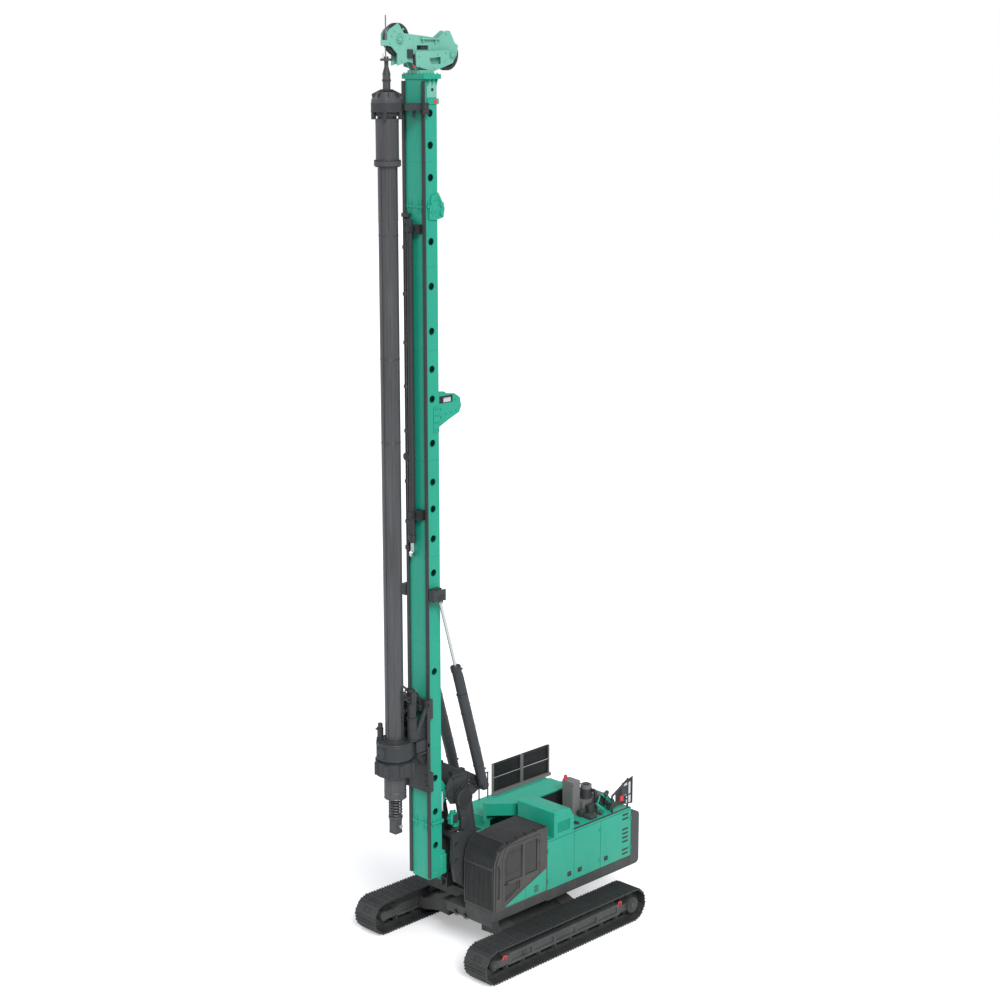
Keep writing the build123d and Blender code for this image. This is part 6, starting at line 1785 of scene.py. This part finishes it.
def dressSledge(s):
    face = s["sledgeFace"]
    built("sledgeArms", "carriage", "darkPaint", bothSides([
        ((0.277, -3.02, 5.16), (0.343, face + 0.03, 5.42)),
        ((0.277, -3.0, 5.1), (0.36, face - 0.02, 5.145))]), bevel=0.008)
    built("sledgeHubs", "carriage", "darkPaint", drums=bothSides([
        ((0.343, face + 0.012, 5.29), (0.392, face + 0.012, 5.29), 0.046, 24),
        ((0.374, -2.6, 6.1), (0.378, -2.6, 6.1), 0.05, 20)]))
    built("sledgePosts", "carriage", "darkPaint", bothSides([
        ((0.35, face - 0.03, 4.62), (0.392, face + 0.03, 6.3)),
        ((0.3, face - 0.05, 6.16), (0.392, face + 0.03, 6.31)),
        ((0.3, face - 0.05, 4.17), (0.392, face + 0.03, 4.32))]), bevel=0.008)
    struts = bmesh.new()
    for side in (1, -1):
        x = side * 0.325
        addPlate(struts, [(x, face - 0.03, 6.24), (x, face + 0.01, 6.14), (x, -3.03, 5.52), (x, -3.09, 5.6)],
                 (side * 0.045, 0, 0))
        addDrum(struts, (x - side * 0.02, -3.04, 5.56), (x + side * 0.065, -3.04, 5.56), 0.055, 20)
    finishMesh("sledgeStruts", "carriage", struts, "darkPaint")
    outer = facing((1, 0, 0), [
        (0.392, face + dy, z) for dy in (-0.015, 0.015) for z in (4.21, 4.28, 6.2, 6.27)])
    front = facing((0, -1, 0), [(x, face, z) for x in (0.27, 0.32) for z in (4.24, 4.4, 4.55, 6.1)])
    bolts("sledgeBolts", "carriage", outer + mirrored(outer) + front + mirrored(front),
          0.026, 0.014, "darkPaint")
    built("sledgeValves", "carriage", "darkPaint", [
        ((-0.19, face - 0.1, 6.02), (0.1, face + 0.002, 6.2)),
        ((0.12, face - 0.08, 6.05), (0.21, face + 0.002, 6.19)),
        ((-0.16, face - 0.14, 5.72), (0.02, face - 0.02, 5.92)),
        ((0.06, face - 0.13, 5.6), (0.2, face - 0.03, 5.8)),
        ((0.03, -3.02, 5.48), (0.15, -2.92, 5.72)), ((-0.14, -3.02, 5.48), (-0.03, -2.93, 5.66))],
          [((0.13, face - 0.12, 5.8), (0.13, face - 0.12, 5.93), 0.04, 20),
           ((-0.07, face - 0.16, 5.82), (-0.07, face - 0.22, 5.82), 0.035, 20)], bevel=0.012)
    built("valveShelf", "carriage", "darkPaint", [
        ((-0.26, face - 0.16, 5.565), (0.26, face + 0.03, 5.6)),
        ((-0.235, face - 0.02, 5.35), (-0.2, face + 0.04, 6.06)),
        ((0.2, face - 0.02, 5.35), (0.235, face + 0.04, 6.06))], bevel=0.006)
    routes = [[(x, face - 0.12, 5.9), (x + 0.02, face - 0.2, 5.98), (x + 0.05, face - 0.18, 6.08),
               (x + 0.04, face - 0.08, 6.12)]
              for x in (-0.13, -0.09, -0.04)]
    routes += [[(0.16, face - 0.14, 5.72), (0.18, -2.92, 5.8), (0.19, -3.0, 5.7), (0.17, -3.04, 5.56)],
               [(-0.15, face - 0.14, 5.74), (-0.17, -2.92, 5.8), (-0.18, -3.0, 5.7), (-0.17, -3.04, 5.56)],
               [(0.1, -2.97, 5.7), (0.13, -2.93, 5.86), (0.1, -2.86, 5.9), (0.07, face - 0.13, 5.8)]]
    clamped("valveHoses", "carriage", routes, 0.016)


winchParts = {"axle": (0.78, 1.8), "turns": 13, "firstX": -0.144, "pitch": 0.024, "woundRadius": 0.24,
              "rope": 0.0118,
              "flangeX": 0.17, "boltRadius": 0.31, "bolts": 12}


def dressWinch(s):
    rope = bmesh.new()
    for i in range(s["turns"]):
        addTorus(rope, (s["firstX"] + i * s["pitch"], *s["axle"]), (1, 0, 0), s["woundRadius"],
                 s["rope"], 40, 6)
    finishMesh("windings", "winch", rope, "steelRope", True)
    places = []
    for side in (1, -1):
        places += ringOf((side * s["flangeX"], *s["axle"]), (side, 0, 0), s["boltRadius"], s["bolts"])
    bolts("drumBolts", "winch", places, 0.026, 0.012, "darkPaint")


doorParts = {"spans": ((0.0, 0.92), (0.92, 1.85), (1.85, 2.59)), "margin": 0.1, "rib": 0.05,
             "depth": (1.446, 1.461),
             "low": 1.36, "middle": 1.88, "high": 2.45}


def dressDoors(s):
    # pressed stiffeners on the inner sides of the service doors
    (inner, face), low, middle, high, rib = s["depth"], s["low"], s["middle"], s["high"], s["rib"]
    for i, (y0, y1) in enumerate(s["spans"]):
        a, b = y0 + s["margin"], y1 - s["margin"]
        ribs = ((a, low, a + rib, high), (b - rib, low, b, high), (a, high - rib, b, high),
                (a, low, b, low + rib),
                (a, middle, b, middle + rib))
        built(f"doorFrame_{i + 1}", f"service_door_{i + 1}", "machineGreen",
              [((inner, c, d), (face, e, f)) for c, d, e, f in ribs], bevel=0.004)


dressRing(driveParts)
dressMotors(driveParts)
dressSledge(driveParts)
dressWinch(winchParts)
dressDoors(doorParts)
print("drive, sledge and winch dressed")
